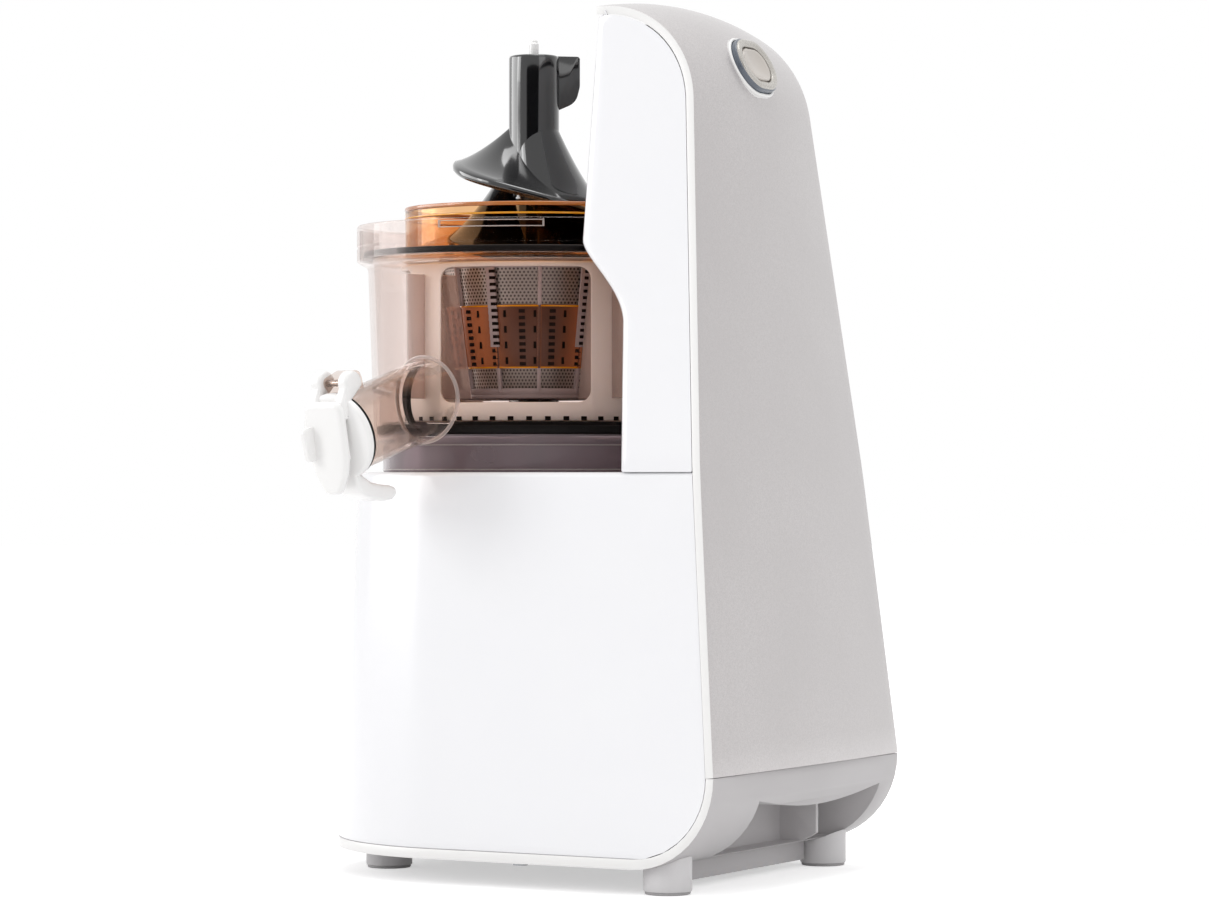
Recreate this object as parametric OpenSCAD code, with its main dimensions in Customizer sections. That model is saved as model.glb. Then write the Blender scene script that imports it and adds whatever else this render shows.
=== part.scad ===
/* [Housing] */
// Overall height of the column at its edges
column_top = 420; // [400:1:440]
// Radius of the rounded front of the base at its foot
base_front_r = 97; // [92:1:104]
// Radius of the rounded front of the base at the deck
deck_front_r = 87; // [85:1:90]
// Distance from the drum axis back to the rear edge at the tray seam
rear_x = 152; // [148:1:160]
// Distance from the drum axis back to the rear edge at the shoulder
shoulder_x = 124; // [121:1:128]
// Drop from the top to the shoulder where the rear edge starts to round over
shoulder_drop = 70; // [62:1:80]
// Radius of the round from the rear edge to the top
crest_r = 52; // [48:1:54]
// Half width of the housing at the rear of the tray seam
rear_half_w = 102; // [99:1:106]
// Half width of the column at the deck
deck_half_w = 89; // [86:1:92]
// Half width of the column at its top
top_half_w = 56; // [52:1:62]
// Height of the deck that the drum stands on
deck_z = 197; // [190:1:204]
// Height of the seam between the rear cover and the tray
tray_seam_z = 56; // [50:1:62]
// Bulge of the rear cover at its middle over its edges
crown = 5; // [3:0.5:7]
// Wall of the white shells
shell_wall = 3; // [2.4:0.1:3.6]
// Thickness of the rear cover
cover_wall = 4; // [3:0.2:5]

/* [Column front] */
// Distance from the drum axis to the column at the deck
waist_foot_x = 95.5; // [93:0.5:99]
// Distance from the drum axis to the column at the top of its waist
waist_x = 91; // [90:0.5:95]
// Distance from the drum axis to the front of the column head
head_x = 66; // [64:1:72]
// Height where the column waist ends
waist_z = 266; // [262:1:274]
// Height where the column head starts
head_z = 307; // [300:1:314]
// How early the column turns out to its waist, 1 for even
waist_turn = 0.78; // [0.6:0.02:1]

/* [Tray and feet] */
// Height of the underside of the tray
tray_z = 12; // [9:1:16]
// Height of the white shell above the floor
shell_foot_z = 17; // [15:1:24]
// Width of the grip hollow in the rear of the tray
grip_w = 98; // [80:1:104]
// Dip of the hollow's upper edge at its middle
grip_dip = 6; // [2:0.5:8]
// Width of the cord hollow beside the grip hollow
cord_w = 34; // [24:1:36]
// Height of the grip hollow over the underside
grip_h = 30; // [22:1:34]
// Depth of the grip hollow
grip_d = 40; // [30:1:46]
// Radius of a foot
foot_r = 11.5; // [9:0.5:14]
// Thickness of a foot pad
pad_t = 1.5; // [1:0.25:3]
// Height of the skirt between the rear feet over the floor
skirt_z = 3.5; // [2:0.5:6]

/* [Rocker] */
// Width of the rocker bezel across the machine
bezel_w = 36; // [33:1:44]
// Height of the rocker bezel along the slope
bezel_h = 29; // [27:1:33]
// Angle of the rocker face above the horizontal
rocker_tilt = 26; // [20:1:32]
// Width of the ring of the bezel
bezel_ring = 5; // [4:0.5:7]
// Gap all round the rocker button
rocker_gap = 0.8; // [0.5:0.1:1.2]

/* [Drum] */
// Outer radius of the drum wall
drum_r = 82.5; // [81.5:0.5:83.5]
// Outer radius of the drum flange
flange_r = 88; // [86:0.5:89]
// Height of the underside of the flange
flange_z = 301; // [298:1:303]
// Height of the flange
flange_h = 18; // [14:1:20]
// Wall of the drum
drum_wall = 3; // [2.4:0.2:3.4]
// Height of the drum floor over the deck
floor_h = 18; // [16:1:20]
// Thickness of the drum floor
floor_t = 3; // [2.5:0.5:4]
// Radius of the drum foot that stands on the deck
foot_ring_r = 75; // [72:1:77]

/* [Spout and tap] */
// Direction of the juice spout round the drum
spout_turn = -102; // [-106:1:-96]
// Fall of the juice spout
spout_fall = 17; // [14:1:18]
// Outer radius of the juice spout
spout_r = 19; // [17:0.5:20]
// Distance from the drum axis to the spout mouth
spout_reach = 136; // [130:1:142]
// Height of the spout axis at its mouth
spout_z = 215; // [213:1:218]
// Wall of the spout and the pulp chute
spout_wall = 2.4; // [2:0.2:3]
// Radius of the tap hinge pin
tap_pin_r = 1.6; // [1.2:0.1:2]
// Distance from the spout axis up to the tap hinge
tap_hinge_h = 24.5; // [24:0.5:27]
// Width of the tap thumb plate
thumb_w = 24; // [20:1:28]

/* [Pulp chute] */
// Outer radius of the pulp chute
chute_r = 15; // [13:0.5:16]
// Distance from the drum axis to the chute mouth
chute_reach = 122; // [112:1:130]
// Height of the chute axis over the drum floor
chute_h = 18; // [17:1:20]

/* [Strainer and brush] */
// Outer radius of the strainer at its top
strainer_top_r = 47; // [45:0.5:48]
// Outer radius of the strainer at its foot
strainer_foot_r = 37; // [35:0.5:39]
// Radius of the amber collar
collar_r = 64; // [62:0.5:66]
// Height of the amber collar over its flange
collar_h = 28; // [24:1:30]
// Wall of the strainer
strainer_wall = 1.6; // [1.4:0.1:2]
// Height of the strainer foot over the drum floor
strainer_lift = 15; // [14:0.5:18]
// Outer radius of the brush cage
cage_r = 66; // [63:0.5:68]
// Wall of the brush cage
cage_wall = 2.4; // [2:0.1:3]
// Width of a cage post in degrees
post_angle = 22; // [18:1:28]

/* [Auger] */
// Radius of the auger hub at its top
hub_top_r = 12.5; // [11:0.5:14]
// Radius of the auger hub at its foot
hub_foot_r = 25; // [22:0.5:27]
// Height of the top of the auger
auger_top = 404; // [396:1:410]
// Outer radius of the big upper flight
wing_r = 40; // [36:0.5:42]
// Turn of the upper flights round the auger in degrees
wing_sweep = 320; // [280:5:340]
// Rise of the lower flights in one turn
flight_pitch = 66; // [50:1:80]
// Radius of the drive shaft
shaft_r = 6; // [5:0.2:7]

/* [Gears] */
// Module of the motor stage
motor_module = 1.25; // [1.2:0.05:1.3]
// Module of the output stage
output_module = 1.5; // [1.4:0.05:1.55]
// Module of the brush gears
brush_module = 1.5; // [1.4:0.05:1.55]
// Radius of the motor
motor_r = 32; // [28:1:36]
// Height of the motor
motor_h = 70; // [60:1:71]

/* [Clearances] */
// Gap of a running shaft in its hole, on the radius
run_gap = 0.08; // [0.03:0.01:0.1]
// Gap between pieces that are fitted by hand
fit_gap = 0.3; // [0.2:0.05:0.5]
// Gap between pieces that turn past each other
turn_gap = 1.2; // [0.8:0.1:1.5]

/* [Hidden] */
$fn = 96;

// Rear edge of the housing, a straight line that leans forward
edge_lean = atan((rear_x - shoulder_x) / (column_top - shoulder_drop - tray_seam_z));
function rear_edge(z) = rear_x - (z - tray_seam_z) * tan(edge_lean);
function mix(a, b, t) = a + (b - a) * t;
function half_w(z) = z < tray_seam_z ? rear_half_w
    : z < deck_z ? mix(rear_half_w, deck_half_w, (z - tray_seam_z) / (deck_z - tray_seam_z))
    : mix(deck_half_w, top_half_w, (z - deck_z) / (column_top - deck_z));
function front_r(z) = mix(base_front_r, deck_front_r, (z - shell_foot_z) / (deck_z - shell_foot_z));

// Crest of the housing
crest_z = column_top - crest_r;
crest_x = rear_edge(crest_z) - crest_r / cos(edge_lean);
crest_steps = 16;
edge_steps = 8;
function crest_point(a, r) = [crest_x + r * cos(a), crest_z + r * sin(a)];

// Heels of the shell and of the tray
heel_r = tray_seam_z - shell_foot_z;
tray_heel_r = tray_seam_z - tray_z;
shell_rear_x = rear_x - cover_wall;
heel_steps = 12;
past = 5;

// Drum heights
floor_z = deck_z + floor_h;
floor_top = floor_z + floor_t;
gasket_t = 3.5;
gasket_top = floor_top + gasket_t;
cage_z = gasket_top + fit_gap;
gear_face = 8;
strainer_z = floor_top + strainer_lift;
ledge_z = flange_z - 1;
drum_inner_r = drum_r - drum_wall;
drum_foot_inner_r = drum_inner_r - 3;
collar_flange_t = 2.5;
collar_top = ledge_z + collar_h;

// Gear train
pinion_teeth = 12;
wheel_teeth = 48;
stage_teeth = 14;
output_teeth = 46;
auger_teeth = 12;
idler_teeth = 16;
ring_teeth = auger_teeth + 2 * idler_teeth;
stage_x = output_module * (stage_teeth + output_teeth) / 2;
motor_x = stage_x + motor_module * (pinion_teeth + wheel_teeth) / 2;
idler_x = brush_module * (auger_teeth + idler_teeth) / 2;
plate_z = 119;
plate_t = 3;
plate_gap = 31;
upper_plate_z = plate_z + plate_t + plate_gap;
wheel_z = plate_z + plate_t + 2;
wheel_t = 10;
output_z = wheel_z + wheel_t + 2;
output_t = 14;
stage_axle_r = 4;
motor_shaft_r = 3;
idler_pin_r = 3;
plate_half_w = 46;
plate_front_x = -46;
plate_rear_x = motor_x + 36;
spacer_r = 4;
spacer_inset = 6;
deck_post = [40, 34];
deck_post_r = 5;
deck_hole_r = 60;
deck_lip = 6;

// Middle of the box that holds the whole machine
thumb_x = 8.5;
thumb_t = 3;
fin_l = 9.278;
fin_t = 3;
fin_y = -8;
fin_top = 2;
near_reach = spout_reach + (thumb_x + thumb_t + fin_l) * cos(spout_fall) + fin_top * sin(spout_fall);
near_y = near_reach * sin(spout_turn) + (fin_y + fin_t / 2) * cos(spout_turn);
mid_x = (rear_x + crown - base_front_r) / 2;
mid_y = (near_y + chute_reach) / 2;
module placed() { translate([-mid_x, -mid_y, 0]) children(); }

// Solid through rings of points that all have the same count
module loft(rings) {
    n = len(rings[0]);
    m = len(rings);
    polyhedron(
        points = [for (ring = rings) each ring],
        faces = concat(
            [[for (i = [0 : n - 1]) i]],
            [for (k = [0 : m - 2], i = [0 : n - 1]) each [
                [k * n + i, (k + 1) * n + i, (k + 1) * n + (i + 1) % n],
                [k * n + i, (k + 1) * n + (i + 1) % n, k * n + (i + 1) % n]]],
            [[for (i = [n - 1 : -1 : 0]) (m - 1) * n + i]]));
}

// Outline drawn in X and Z, swept across the machine
module across(half) { rotate([90, 0, 0]) linear_extrude(2 * half, center = true) children(); }
// Outline drawn in Y and Z, swept from front to back
module lengthwise(x0, x1) { translate([x0, 0, 0]) rotate([90, 0, 90]) linear_extrude(x1 - x0)
    children(); }
// Oval plate along local X, w wide in Y and h high in Z
module oval_plate(w, h, x0, x1) {
    translate([x0, 0, 0]) rotate([0, 90, 0]) linear_extrude(x1 - x0) {
        for (s = [-1, 1]) translate([0, s * (w - h) / 2]) circle(h / 2);
        square([h, w - h], center = true);
    }
}
module tube(r_out, r_in, z0, z1) {
    translate([0, 0, z0]) difference() {
        cylinder(r = r_out, h = z1 - z0);
        translate([0, 0, -past]) cylinder(r = r_in, h = z1 - z0 + 2 * past);
    }
}

// Gears with straight flanks
tooth_tip = 0.75;
tooth_root = 1.1;
function tooth(r, m, n, share, tip, root) = let (w = 90 / n * share)
    [[r - root * m, -w * 1.25], [r, -w], [r + tip * m, -w * 0.55],
     [r + tip * m, w * 0.55], [r, w], [r - root * m, w * 1.25]];
module gear_outline(n, m, share = 0.84, tip = tooth_tip, root = tooth_root) {
    polygon([for (i = [0 : n - 1]) each [for (p = tooth(m * n / 2, m, n, share, tip, root))
        let (a = 360 * i / n + p[1]) [p[0] * cos(a), p[0] * sin(a)]]]);
}
module gear(n, m, z, t, phase = 0) { translate([0, 0, z]) rotate(phase) linear_extrude(t)
    gear_outline(n, m); }

// Housing
module base_solid(inset, z0, z1) {
    steps = 48;
    function ring(z) = concat(
        [for (i = [0 : steps]) let (a = 90 + 180 * i / steps)
            [(front_r(z) - inset) * cos(a), (front_r(z) - inset) * sin(a), z]],
        [[rear_x + past, -half_w(z) + inset, z], [rear_x + past, half_w(z) - inset, z]]);
    loft([ring(z0), ring(tray_seam_z), ring(z1)]);
}
module shell_side(top) {
    polygon(concat(
        [[-base_front_r - past, shell_foot_z]],
        [for (i = [0 : heel_steps]) let (a = -90 + 90 * i / heel_steps)
            [shell_rear_x - heel_r + heel_r * cos(a), tray_seam_z + heel_r * sin(a)]],
        [[rear_edge(top) - cover_wall, top], [-base_front_r - past, top]]));
}
module base_shell() {
    color("white") difference() {
        intersection() {
            base_solid(0, shell_foot_z - past, deck_z);
            across(rear_half_w + past) shell_side(deck_z);
        }
        base_solid(shell_wall, shell_foot_z - 2 * past, deck_z - shell_wall);
        translate([0, 0, deck_z - shell_wall - past])
            cylinder(r = deck_hole_r, h = shell_wall + 2 * past);
    }
}
foot_places = [[-66, -30], [-66, 30], [119, -84], [119, 84]];
outer_heel = [for (i = [0 : heel_steps]) let (a = -90 + 90 * i / heel_steps)
    [rear_x - tray_heel_r + tray_heel_r * cos(a), tray_seam_z + tray_heel_r * sin(a)]];
module base_tray() {
    plate = shell_foot_z - tray_z;
    color("silver") union() {
        difference() {
            intersection() {
                base_solid(0, tray_z, deck_z);
                union() {
                    across(rear_half_w + past)
                        polygon(concat([[-base_front_r - past, tray_z]], outer_heel,
                        [for (i = [heel_steps : -1 : 0]) let (a = -90 + 90 * i / heel_steps)
                            [shell_rear_x - heel_r + heel_r * cos(a), tray_seam_z + heel_r * sin(a)]],
                        [[-base_front_r - past, shell_foot_z]]));
                    intersection() {
                        translate([pocket_x - plate, -grip_w / 2 - plate, tray_z])
                            cube([grip_d, grip_w + grip_rib + cord_w + 2 * plate, grip_h + plate]);
                        across(rear_half_w)
                            polygon(concat([[0, tray_z]], outer_heel, [[0, tray_seam_z]]));
                    }
                }
            }
            difference() {
                lengthwise(pocket_x, rear_x + past) polygon(concat(
                    [[grip_end, tray_z + grip_lip], [-grip_w / 2, tray_z + grip_lip]],
                    [for (i = [0 : heel_steps]) [mix(-grip_w / 2, grip_end, i / heel_steps),
                                                 tray_z + grip_h - grip_dip * sin(180 * i / heel_steps)]]));
                translate([pocket_x - past, grip_w / 2, tray_z])
                    cube([rib_reach + past, grip_rib, grip_h]);
            }
            placed_gland() cylinder(r = gland_r, h = 4 * past, center = true);
        }
        translate([pocket_x, -skirt_half, skirt_z])
            cube([grip_rib, 2 * skirt_half, tray_z + grip_lip / 2 - skirt_z]);
    }
}
pocket_x = rear_x - grip_d;
grip_lip = 3;
grip_rib = 2.5;
grip_end = grip_w / 2 + grip_rib + cord_w;
rib_reach = grip_d / 2;
skirt_half = foot_places[3][1] - foot_r - 1;
gland_r = 5;
gland_y = grip_w / 2 + grip_rib + cord_w / 2;
module placed_gland() {
    translate([rear_x - grip_d, gland_y, tray_z + grip_h / 2]) rotate([0, 90, 0]) children();
}
module cord_gland() {
    plate = shell_foot_z - tray_z;
    color("dimgray") placed_gland() {
        translate([0, 0, -plate - 3]) cylinder(r = gland_r, h = plate + 3);
        cylinder(r1 = gland_r + 2, r2 = gland_r, h = 8);
    }
}
module column_side(front, rear) {
    polygon(concat(
        [[rear_edge(deck_z) - rear, deck_z]],
        [for (i = [0 : crest_steps]) crest_point(mix(edge_lean, 90, i / crest_steps), crest_r - rear)],
        [[head_x + front, column_top - rear]],
        [for (i = [0 : edge_steps]) let (t = i / edge_steps, u = t ^ waist_turn, s = u * u * (3 - 2 * u))
            [mix(head_x, waist_x, s) + front, mix(head_z, waist_z, t)]],
        [[waist_foot_x + front, deck_z]]));
}
module column_front(inset) {
    polygon([[-half_w(deck_z) + inset, deck_z], [half_w(deck_z) - inset, deck_z],
             [top_half_w - inset, column_top], [-top_half_w + inset, column_top]]);
}
drum_clear_r = flange_r + 2;
module column_shell() {
    color("white") difference() {
        intersection() {
            across(rear_half_w) column_side(0, cover_wall);
            lengthwise(0, rear_x) column_front(0);
        }
        difference() {
            intersection() {
                across(rear_half_w) union() {
                    column_side(shell_wall, cover_wall);
                    translate([waist_foot_x + shell_wall, deck_z - past])
                        square([rear_x - waist_x, 2 * past]);
                    intersection() {
                        translate([head_x + shell_wall, deck_z])
                            square([rear_x, column_top - deck_z - 2 * shell_wall]);
                        column_side(shell_wall, -past);
                    }
                }
                lengthwise(0, rear_x + past) column_front(shell_wall);
            }
            translate([0, 0, deck_z])
                cylinder(r = drum_clear_r + shell_wall, h = collar_top - deck_z + shell_wall);
        }
        translate([0, 0, deck_z - past]) cylinder(r = drum_clear_r, h = collar_top - deck_z + past);
    }
}
// Rear cover, a curved sheet that is bulged across the machine
cover_cols = 12;
function cover_station(k) = k <= edge_steps
    ? let (z = mix(tray_seam_z, crest_z + crest_r * sin(edge_lean), k / edge_steps)) [rear_edge(z), z,
        edge_lean]
    : k <= edge_steps + crest_steps
    ? let (a = mix(edge_lean, 90, (k - edge_steps) / crest_steps), p = crest_point(a, crest_r)) [p[0],
        p[1], a]
    : [head_x, column_top, 90];
function cover_row(s, depth) = [for (j = [0 : cover_cols])
    let (y = mix(-1, 1, j / cover_cols), out = crown * (1 - y * y) - depth)
    [s[0] + out * cos(s[2]), y * half_w(s[1]), s[1] + out * sin(s[2])]];
module rear_cover() {
    stations = edge_steps + crest_steps + 1;
    color("lightgray") difference() {
        loft([for (k = [0 : stations]) let (s = cover_station(k))
            concat(cover_row(s, 0), [for (j = [cover_cols : -1 : 0]) cover_row(s, cover_wall)[j]])]);
        at_rocker() oval_plate(bezel_w, bezel_h, -4 * past, 2 * past);
        translate([0, 0, tray_seam_z - 4 * past]) translate([0, -rear_x, 0])
            cube([2 * rear_x, 2 * rear_x, 4 * past]);
    }
}
module deck_plate() {
    lip_z = deck_z - 2 * shell_wall;
    color("gainsboro") difference() {
        union() {
            translate([0, 0, lip_z]) cylinder(r = deck_hole_r - fit_gap, h = deck_z - lip_z);
            translate([0, 0, lip_z]) cylinder(r = deck_hole_r + deck_lip, h = shell_wall);
            translate([0, 0, lip_z - 4]) cylinder(r = shaft_r + 8, h = 8);
            for (x = [-1, 1], y = [-1, 1])
                translate([x * deck_post[0], y * deck_post[1], upper_plate_z + plate_t])
                    cylinder(r = deck_post_r, h = lip_z - upper_plate_z - plate_t);
        }
        translate([0, 0, lip_z - 2 * past]) cylinder(r = shaft_r + 3, h = 4 * past + deck_z - lip_z);
    }
}
module feet() {
    color("lightgray") difference() {
        for (p = foot_places) translate([p[0], p[1], pad_t]) cylinder(r = foot_r, h = 2 * tray_z - pad_t);
        across(rear_half_w + past) polygon(concat([[-base_front_r - past, tray_z]], outer_heel,
            [[rear_x, deck_z], [-base_front_r - past, deck_z]]));
    }
}
module foot_pads() {
    color("gray") for (p = foot_places) translate([p[0], p[1], 0]) cylinder(r = foot_r - 0.7, h = pad_t);
}
screw_places = [[-30, -70], [-30, 70], [40, -84], [40, 84], [92, -30], [92, 30]];
module case_screws() {
    color("silver") for (p = screw_places) translate([p[0], p[1], tray_z - 2]) difference() {
        cylinder(r = 3.5, h = 2);
        translate([0, 0, -1]) cylinder(r = 1.6, h = 2, $fn = 6);
    }
}

// Rocker on the crest
module at_rocker() {
    p = crest_point(rocker_tilt, crest_r + crown);
    translate([p[0], 0, p[1]]) rotate([0, -rocker_tilt, 0]) children();
}
rocker_pivot = -2.5;
rocker_pin_r = 1.5;
bezel_front = 4;
rocker_front = 3;
rocker_back = -5.5;
bezel_back = -9;
button_w = bezel_w - 2 * bezel_ring - 2 * rocker_gap;
button_h = bezel_h - 2 * bezel_ring - 2 * rocker_gap;
module rocker_pin(r, l) { translate([rocker_pivot, 0, 0]) rotate([90, 0, 0])
    cylinder(r = r, h = l, center = true); }
module rocker_bezel() {
    color("silver") at_rocker() difference() {
        oval_plate(bezel_w - 2 * fit_gap, bezel_h - 2 * fit_gap, bezel_back, bezel_front);
        oval_plate(bezel_w - 2 * bezel_ring, bezel_h - 2 * bezel_ring, bezel_back - past,
            bezel_front + past);
        rocker_pin(rocker_pin_r + run_gap, bezel_w - bezel_ring);
    }
}
module rocker_button() {
    color("gainsboro") at_rocker() {
        oval_plate(button_w, button_h, rocker_back, rocker_front);
        rocker_pin(rocker_pin_r, bezel_w - bezel_ring - 1);
    }
}
module switch_body() {
    box = [bezel_h / 2, button_w - 4, button_h + 4];
    tab = [6, 4.8, 1];
    color("dimgray") at_rocker() translate([bezel_back - box[0], 0, 0]) {
        translate([0, -box[1] / 2, -box[2] / 2]) cube(box);
        for (s = [-1, 0, 1]) translate([-tab[0], s * box[1] / 4 - tab[1] / 2, -tab[2] / 2]) cube(tab);
    }
}

// Drive
module shaft_hole(x, r) { translate([x, 0, -past]) cylinder(r = r, h = 4 * past); }
module gear_plate(z, motor_hole) {
    bush_r = shaft_r + 3;
    color("silver") translate([0, 0, z]) difference() {
        translate([plate_front_x, -plate_half_w, 0])
            cube([plate_rear_x - plate_front_x, 2 * plate_half_w, plate_t]);
        shaft_hole(0, bush_r);
        shaft_hole(stage_x, stage_axle_r + run_gap);
        shaft_hole(motor_x, motor_hole);
    }
}
module lower_gear_plate() { gear_plate(plate_z, motor_shaft_r + run_gap); }
module upper_gear_plate() { gear_plate(upper_plate_z, motor_shaft_r + 4); }
module plate_spacers() {
    color("darkgray") for (x = [plate_front_x + spacer_inset, plate_rear_x - spacer_inset], s = [-1, 1])
        translate([x, s * (plate_half_w - spacer_inset), plate_z + plate_t])
            cylinder(r = spacer_r, h = plate_gap);
}
module motor() {
    color("slategray") translate([motor_x, 0, plate_z - motor_h]) difference() {
        union() {
            cylinder(r = motor_r - 3, h = motor_h);
            translate([0, 0, 14]) cylinder(r = motor_r, h = motor_h - 28);
        }
        translate([0, 0, motor_h - 12]) cylinder(r = motor_shaft_r + run_gap, h = 12 + past);
    }
}
module motor_pinion() {
    color("goldenrod") translate([motor_x, 0, 0]) {
        gear(pinion_teeth, motor_module, wheel_z, wheel_t, 0);
        translate([0, 0, plate_z - 10]) cylinder(r = motor_shaft_r, h = wheel_z + wheel_t - plate_z + 12);
    }
}
module stage_gear() {
    color("ivory") translate([stage_x, 0, 0]) {
        gear(wheel_teeth, motor_module, wheel_z, wheel_t, 180 / wheel_teeth);
        gear(stage_teeth, output_module, output_z, output_t, 0);
        translate([0, 0, plate_z + 0.5])
            cylinder(r = stage_axle_r, h = upper_plate_z + plate_t - plate_z - 1);
        translate([0, 0, wheel_z + wheel_t - 1]) cylinder(r = stage_axle_r + 2, h = 4);
    }
}
module output_gear() {
    color("ivory") difference() {
        union() {
            gear(output_teeth, output_module, output_z, output_t, 180 / output_teeth);
            translate([0, 0, output_z - 2]) cylinder(r = shaft_r + 6, h = output_t + 4);
        }
        translate([0, 0, output_z - past]) cylinder(r = shaft_r, h = output_t + 2 * past);
    }
}
socket_top = strainer_z + 30;
module drive_shaft() {
    color("silver") translate([0, 0, plate_z + 0.5]) cylinder(r = shaft_r, h = socket_top - plate_z - 1);
}
module shaft_bushes() {
    color("peru") {
        for (z = [plate_z, upper_plate_z]) tube(shaft_r + 3, shaft_r + run_gap, z, z + plate_t);
        tube(shaft_r + 3, shaft_r + run_gap, deck_z - 2 * shell_wall - 4, deck_z);
    }
}
board = [46, 48, 1.6];
board_lift = 7;
board_inset = 4;
module circuit_board() {
    x0 = board[0] / 2 - base_front_r / 2;
    face = shell_foot_z + board_lift + board[2];
    color("seagreen") translate([x0 - board[0], 0, 0]) {
        translate([0, -board[1] / 2, shell_foot_z + board_lift]) cube(board);
        for (x = [board_inset, board[0] - board_inset], s = [-1, 1])
            translate([x, s * (board[1] / 2 - board_inset), shell_foot_z])
                cylinder(r = board_inset / 2, h = board_lift);
        for (s = [-1, 0, 1]) translate([board[0] / 4, s * board[1] / 3, face])
            cylinder(r = board[1] / 10, h = board[0] / 3);
        translate([board[0] / 2, -board[1] / 3, face])
            cube([board[0] / 3, board[1] * 2 / 3, board[0] / 5]);
    }
}

// Drum
module along_spout(x0, x1, r) { at_mouth() translate([x0, 0, 0]) rotate([0, 90, 0])
    cylinder(r = r, h = x1 - x0); }
module at_mouth() {
    translate([spout_reach * cos(spout_turn), spout_reach * sin(spout_turn), spout_z])
        rotate([0, 0, spout_turn]) rotate([0, spout_fall, 0]) children();
}
chute_z = floor_top + chute_h;
module along_chute(y0, y1, r) { translate([0, y0, chute_z]) rotate([-90, 0, 0])
    cylinder(r = r, h = y1 - y0); }
spout_back = drum_r + past - spout_reach;
boss_w = 11;
boss_r = 4.5;
drum_outside = [[foot_ring_r, deck_z], [foot_ring_r, floor_z - 4], [drum_r - 3, floor_z], [drum_r,
    flange_z - 3],
    [flange_r, flange_z], [flange_r, flange_z + flange_h]];
module drum_bores() {
    along_spout(spout_back - 2 * past, past, spout_r - spout_wall);
    along_chute(drum_foot_inner_r - 2 * past, chute_reach + past, chute_r - spout_wall);
}
module outside_drum() {
    difference() {
        children();
        rotate_extrude() polygon(concat([[0, deck_z]], drum_outside, [[0, flange_z + flange_h]]));
    }
}
module drum() {
    color("tan", 0.6) difference() {
        union() {
            rotate_extrude() polygon(concat(
                [[shaft_r + run_gap, floor_z], [drum_foot_inner_r - 1.5, floor_z], [foot_ring_r - 3,
                    floor_z - 2],
                 [foot_ring_r - 3, deck_z]], drum_outside,
                [[flange_r - 3, flange_z + flange_h], [flange_r - 3, ledge_z + collar_flange_t],
                 [drum_inner_r + 1, ledge_z + collar_flange_t], [drum_inner_r + 1, ledge_z],
                     [drum_inner_r, ledge_z],
                 [drum_foot_inner_r, floor_top], [shaft_r + 4, floor_top], [shaft_r + 4, gasket_top - 1],
                 [shaft_r + run_gap, gasket_top - 1]]));
            translate([idler_x, 0, floor_top - 1])
                cylinder(r = idler_pin_r, h = cage_z + gear_face - floor_top + 1);
        }
        drum_bores();
    }
}
module juice_spout() {
    color("tan", 0.6) difference() {
        outside_drum() {
            along_spout(spout_back - 2 * past, 0, spout_r);
            at_mouth() tap_boss();
        }
        drum_bores();
    }
}
module pulp_chute() {
    color("tan", 0.6) difference() {
        outside_drum() along_chute(drum_foot_inner_r - 2 * past, chute_reach, chute_r);
        drum_bores();
    }
}
module tap_boss() {
    difference() {
        union() {
            translate([-2, 0, tap_hinge_h]) rotate([90, 0, 0])
                cylinder(r = boss_r - 1.5, h = boss_w, center = true);
            translate([-14, -boss_w / 2, spout_r - spout_wall])
                cube([12, boss_w, tap_hinge_h - spout_r + 5.4]);
            translate([-3, -boss_w / 2, spout_r - spout_wall]) cube([3, boss_w, tap_hinge_h - spout_r]);
        }
        translate([-2, 0, tap_hinge_h]) rotate([90, 0, 0])
            cylinder(r = tap_pin_r + run_gap, h = boss_w + past, center = true);
    }
}
module drum_gasket() {
    color("black") difference() {
        tube(drum_foot_inner_r - 1, drum_foot_inner_r - 8, floor_top, gasket_top);
        along_spout(spout_back - 4 * past, past, spout_r - spout_wall + 0.5);
        along_chute(drum_foot_inner_r - 4 * past, chute_reach, chute_r - spout_wall + 0.5);
    }
}
module lid_seal() {
    z = ledge_z + collar_flange_t;
    color("black") tube(flange_r - 3 - fit_gap, drum_inner_r + 1 + fit_gap, z, z + 5);
}
module lock_mark() {
    color("red") rotate(198) translate([flange_r, 0, flange_z + flange_h / 2]) rotate([0, 90, 0])
        cylinder(r = 2, h = 0.6);
}

// Brush, strainer and collar
windows = 4;
window_turn = -70;
cage_foot = 9;
cage_head = 2.5;
cage_top = ledge_z - 1;
window_z0 = cage_z + cage_foot;
window_z1 = cage_top - cage_head;
window_half = cage_r * sin(180 / windows - post_angle / 2);
window_round = 6;
module brush_cage() {
    color("antiquewhite") difference() {
        union() {
            tube(cage_r, cage_r - cage_wall, cage_z, cage_top);
            translate([0, 0, cage_z]) linear_extrude(gear_face - 2) difference() {
                circle(cage_r - 1);
                gear_outline(ring_teeth, brush_module, 1.2, tooth_root, tooth_tip);
            }
        }
        for (i = [0 : windows - 1]) rotate(window_turn + i * 360 / windows) rotate([90, 0, 90])
            linear_extrude(cage_r + past) hull()
                for (s = [-1, 1], z = [window_z0 + window_round, window_z1 - window_round])
                translate([s * (window_half - window_round), z]) circle(window_round);
    }
}
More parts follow.
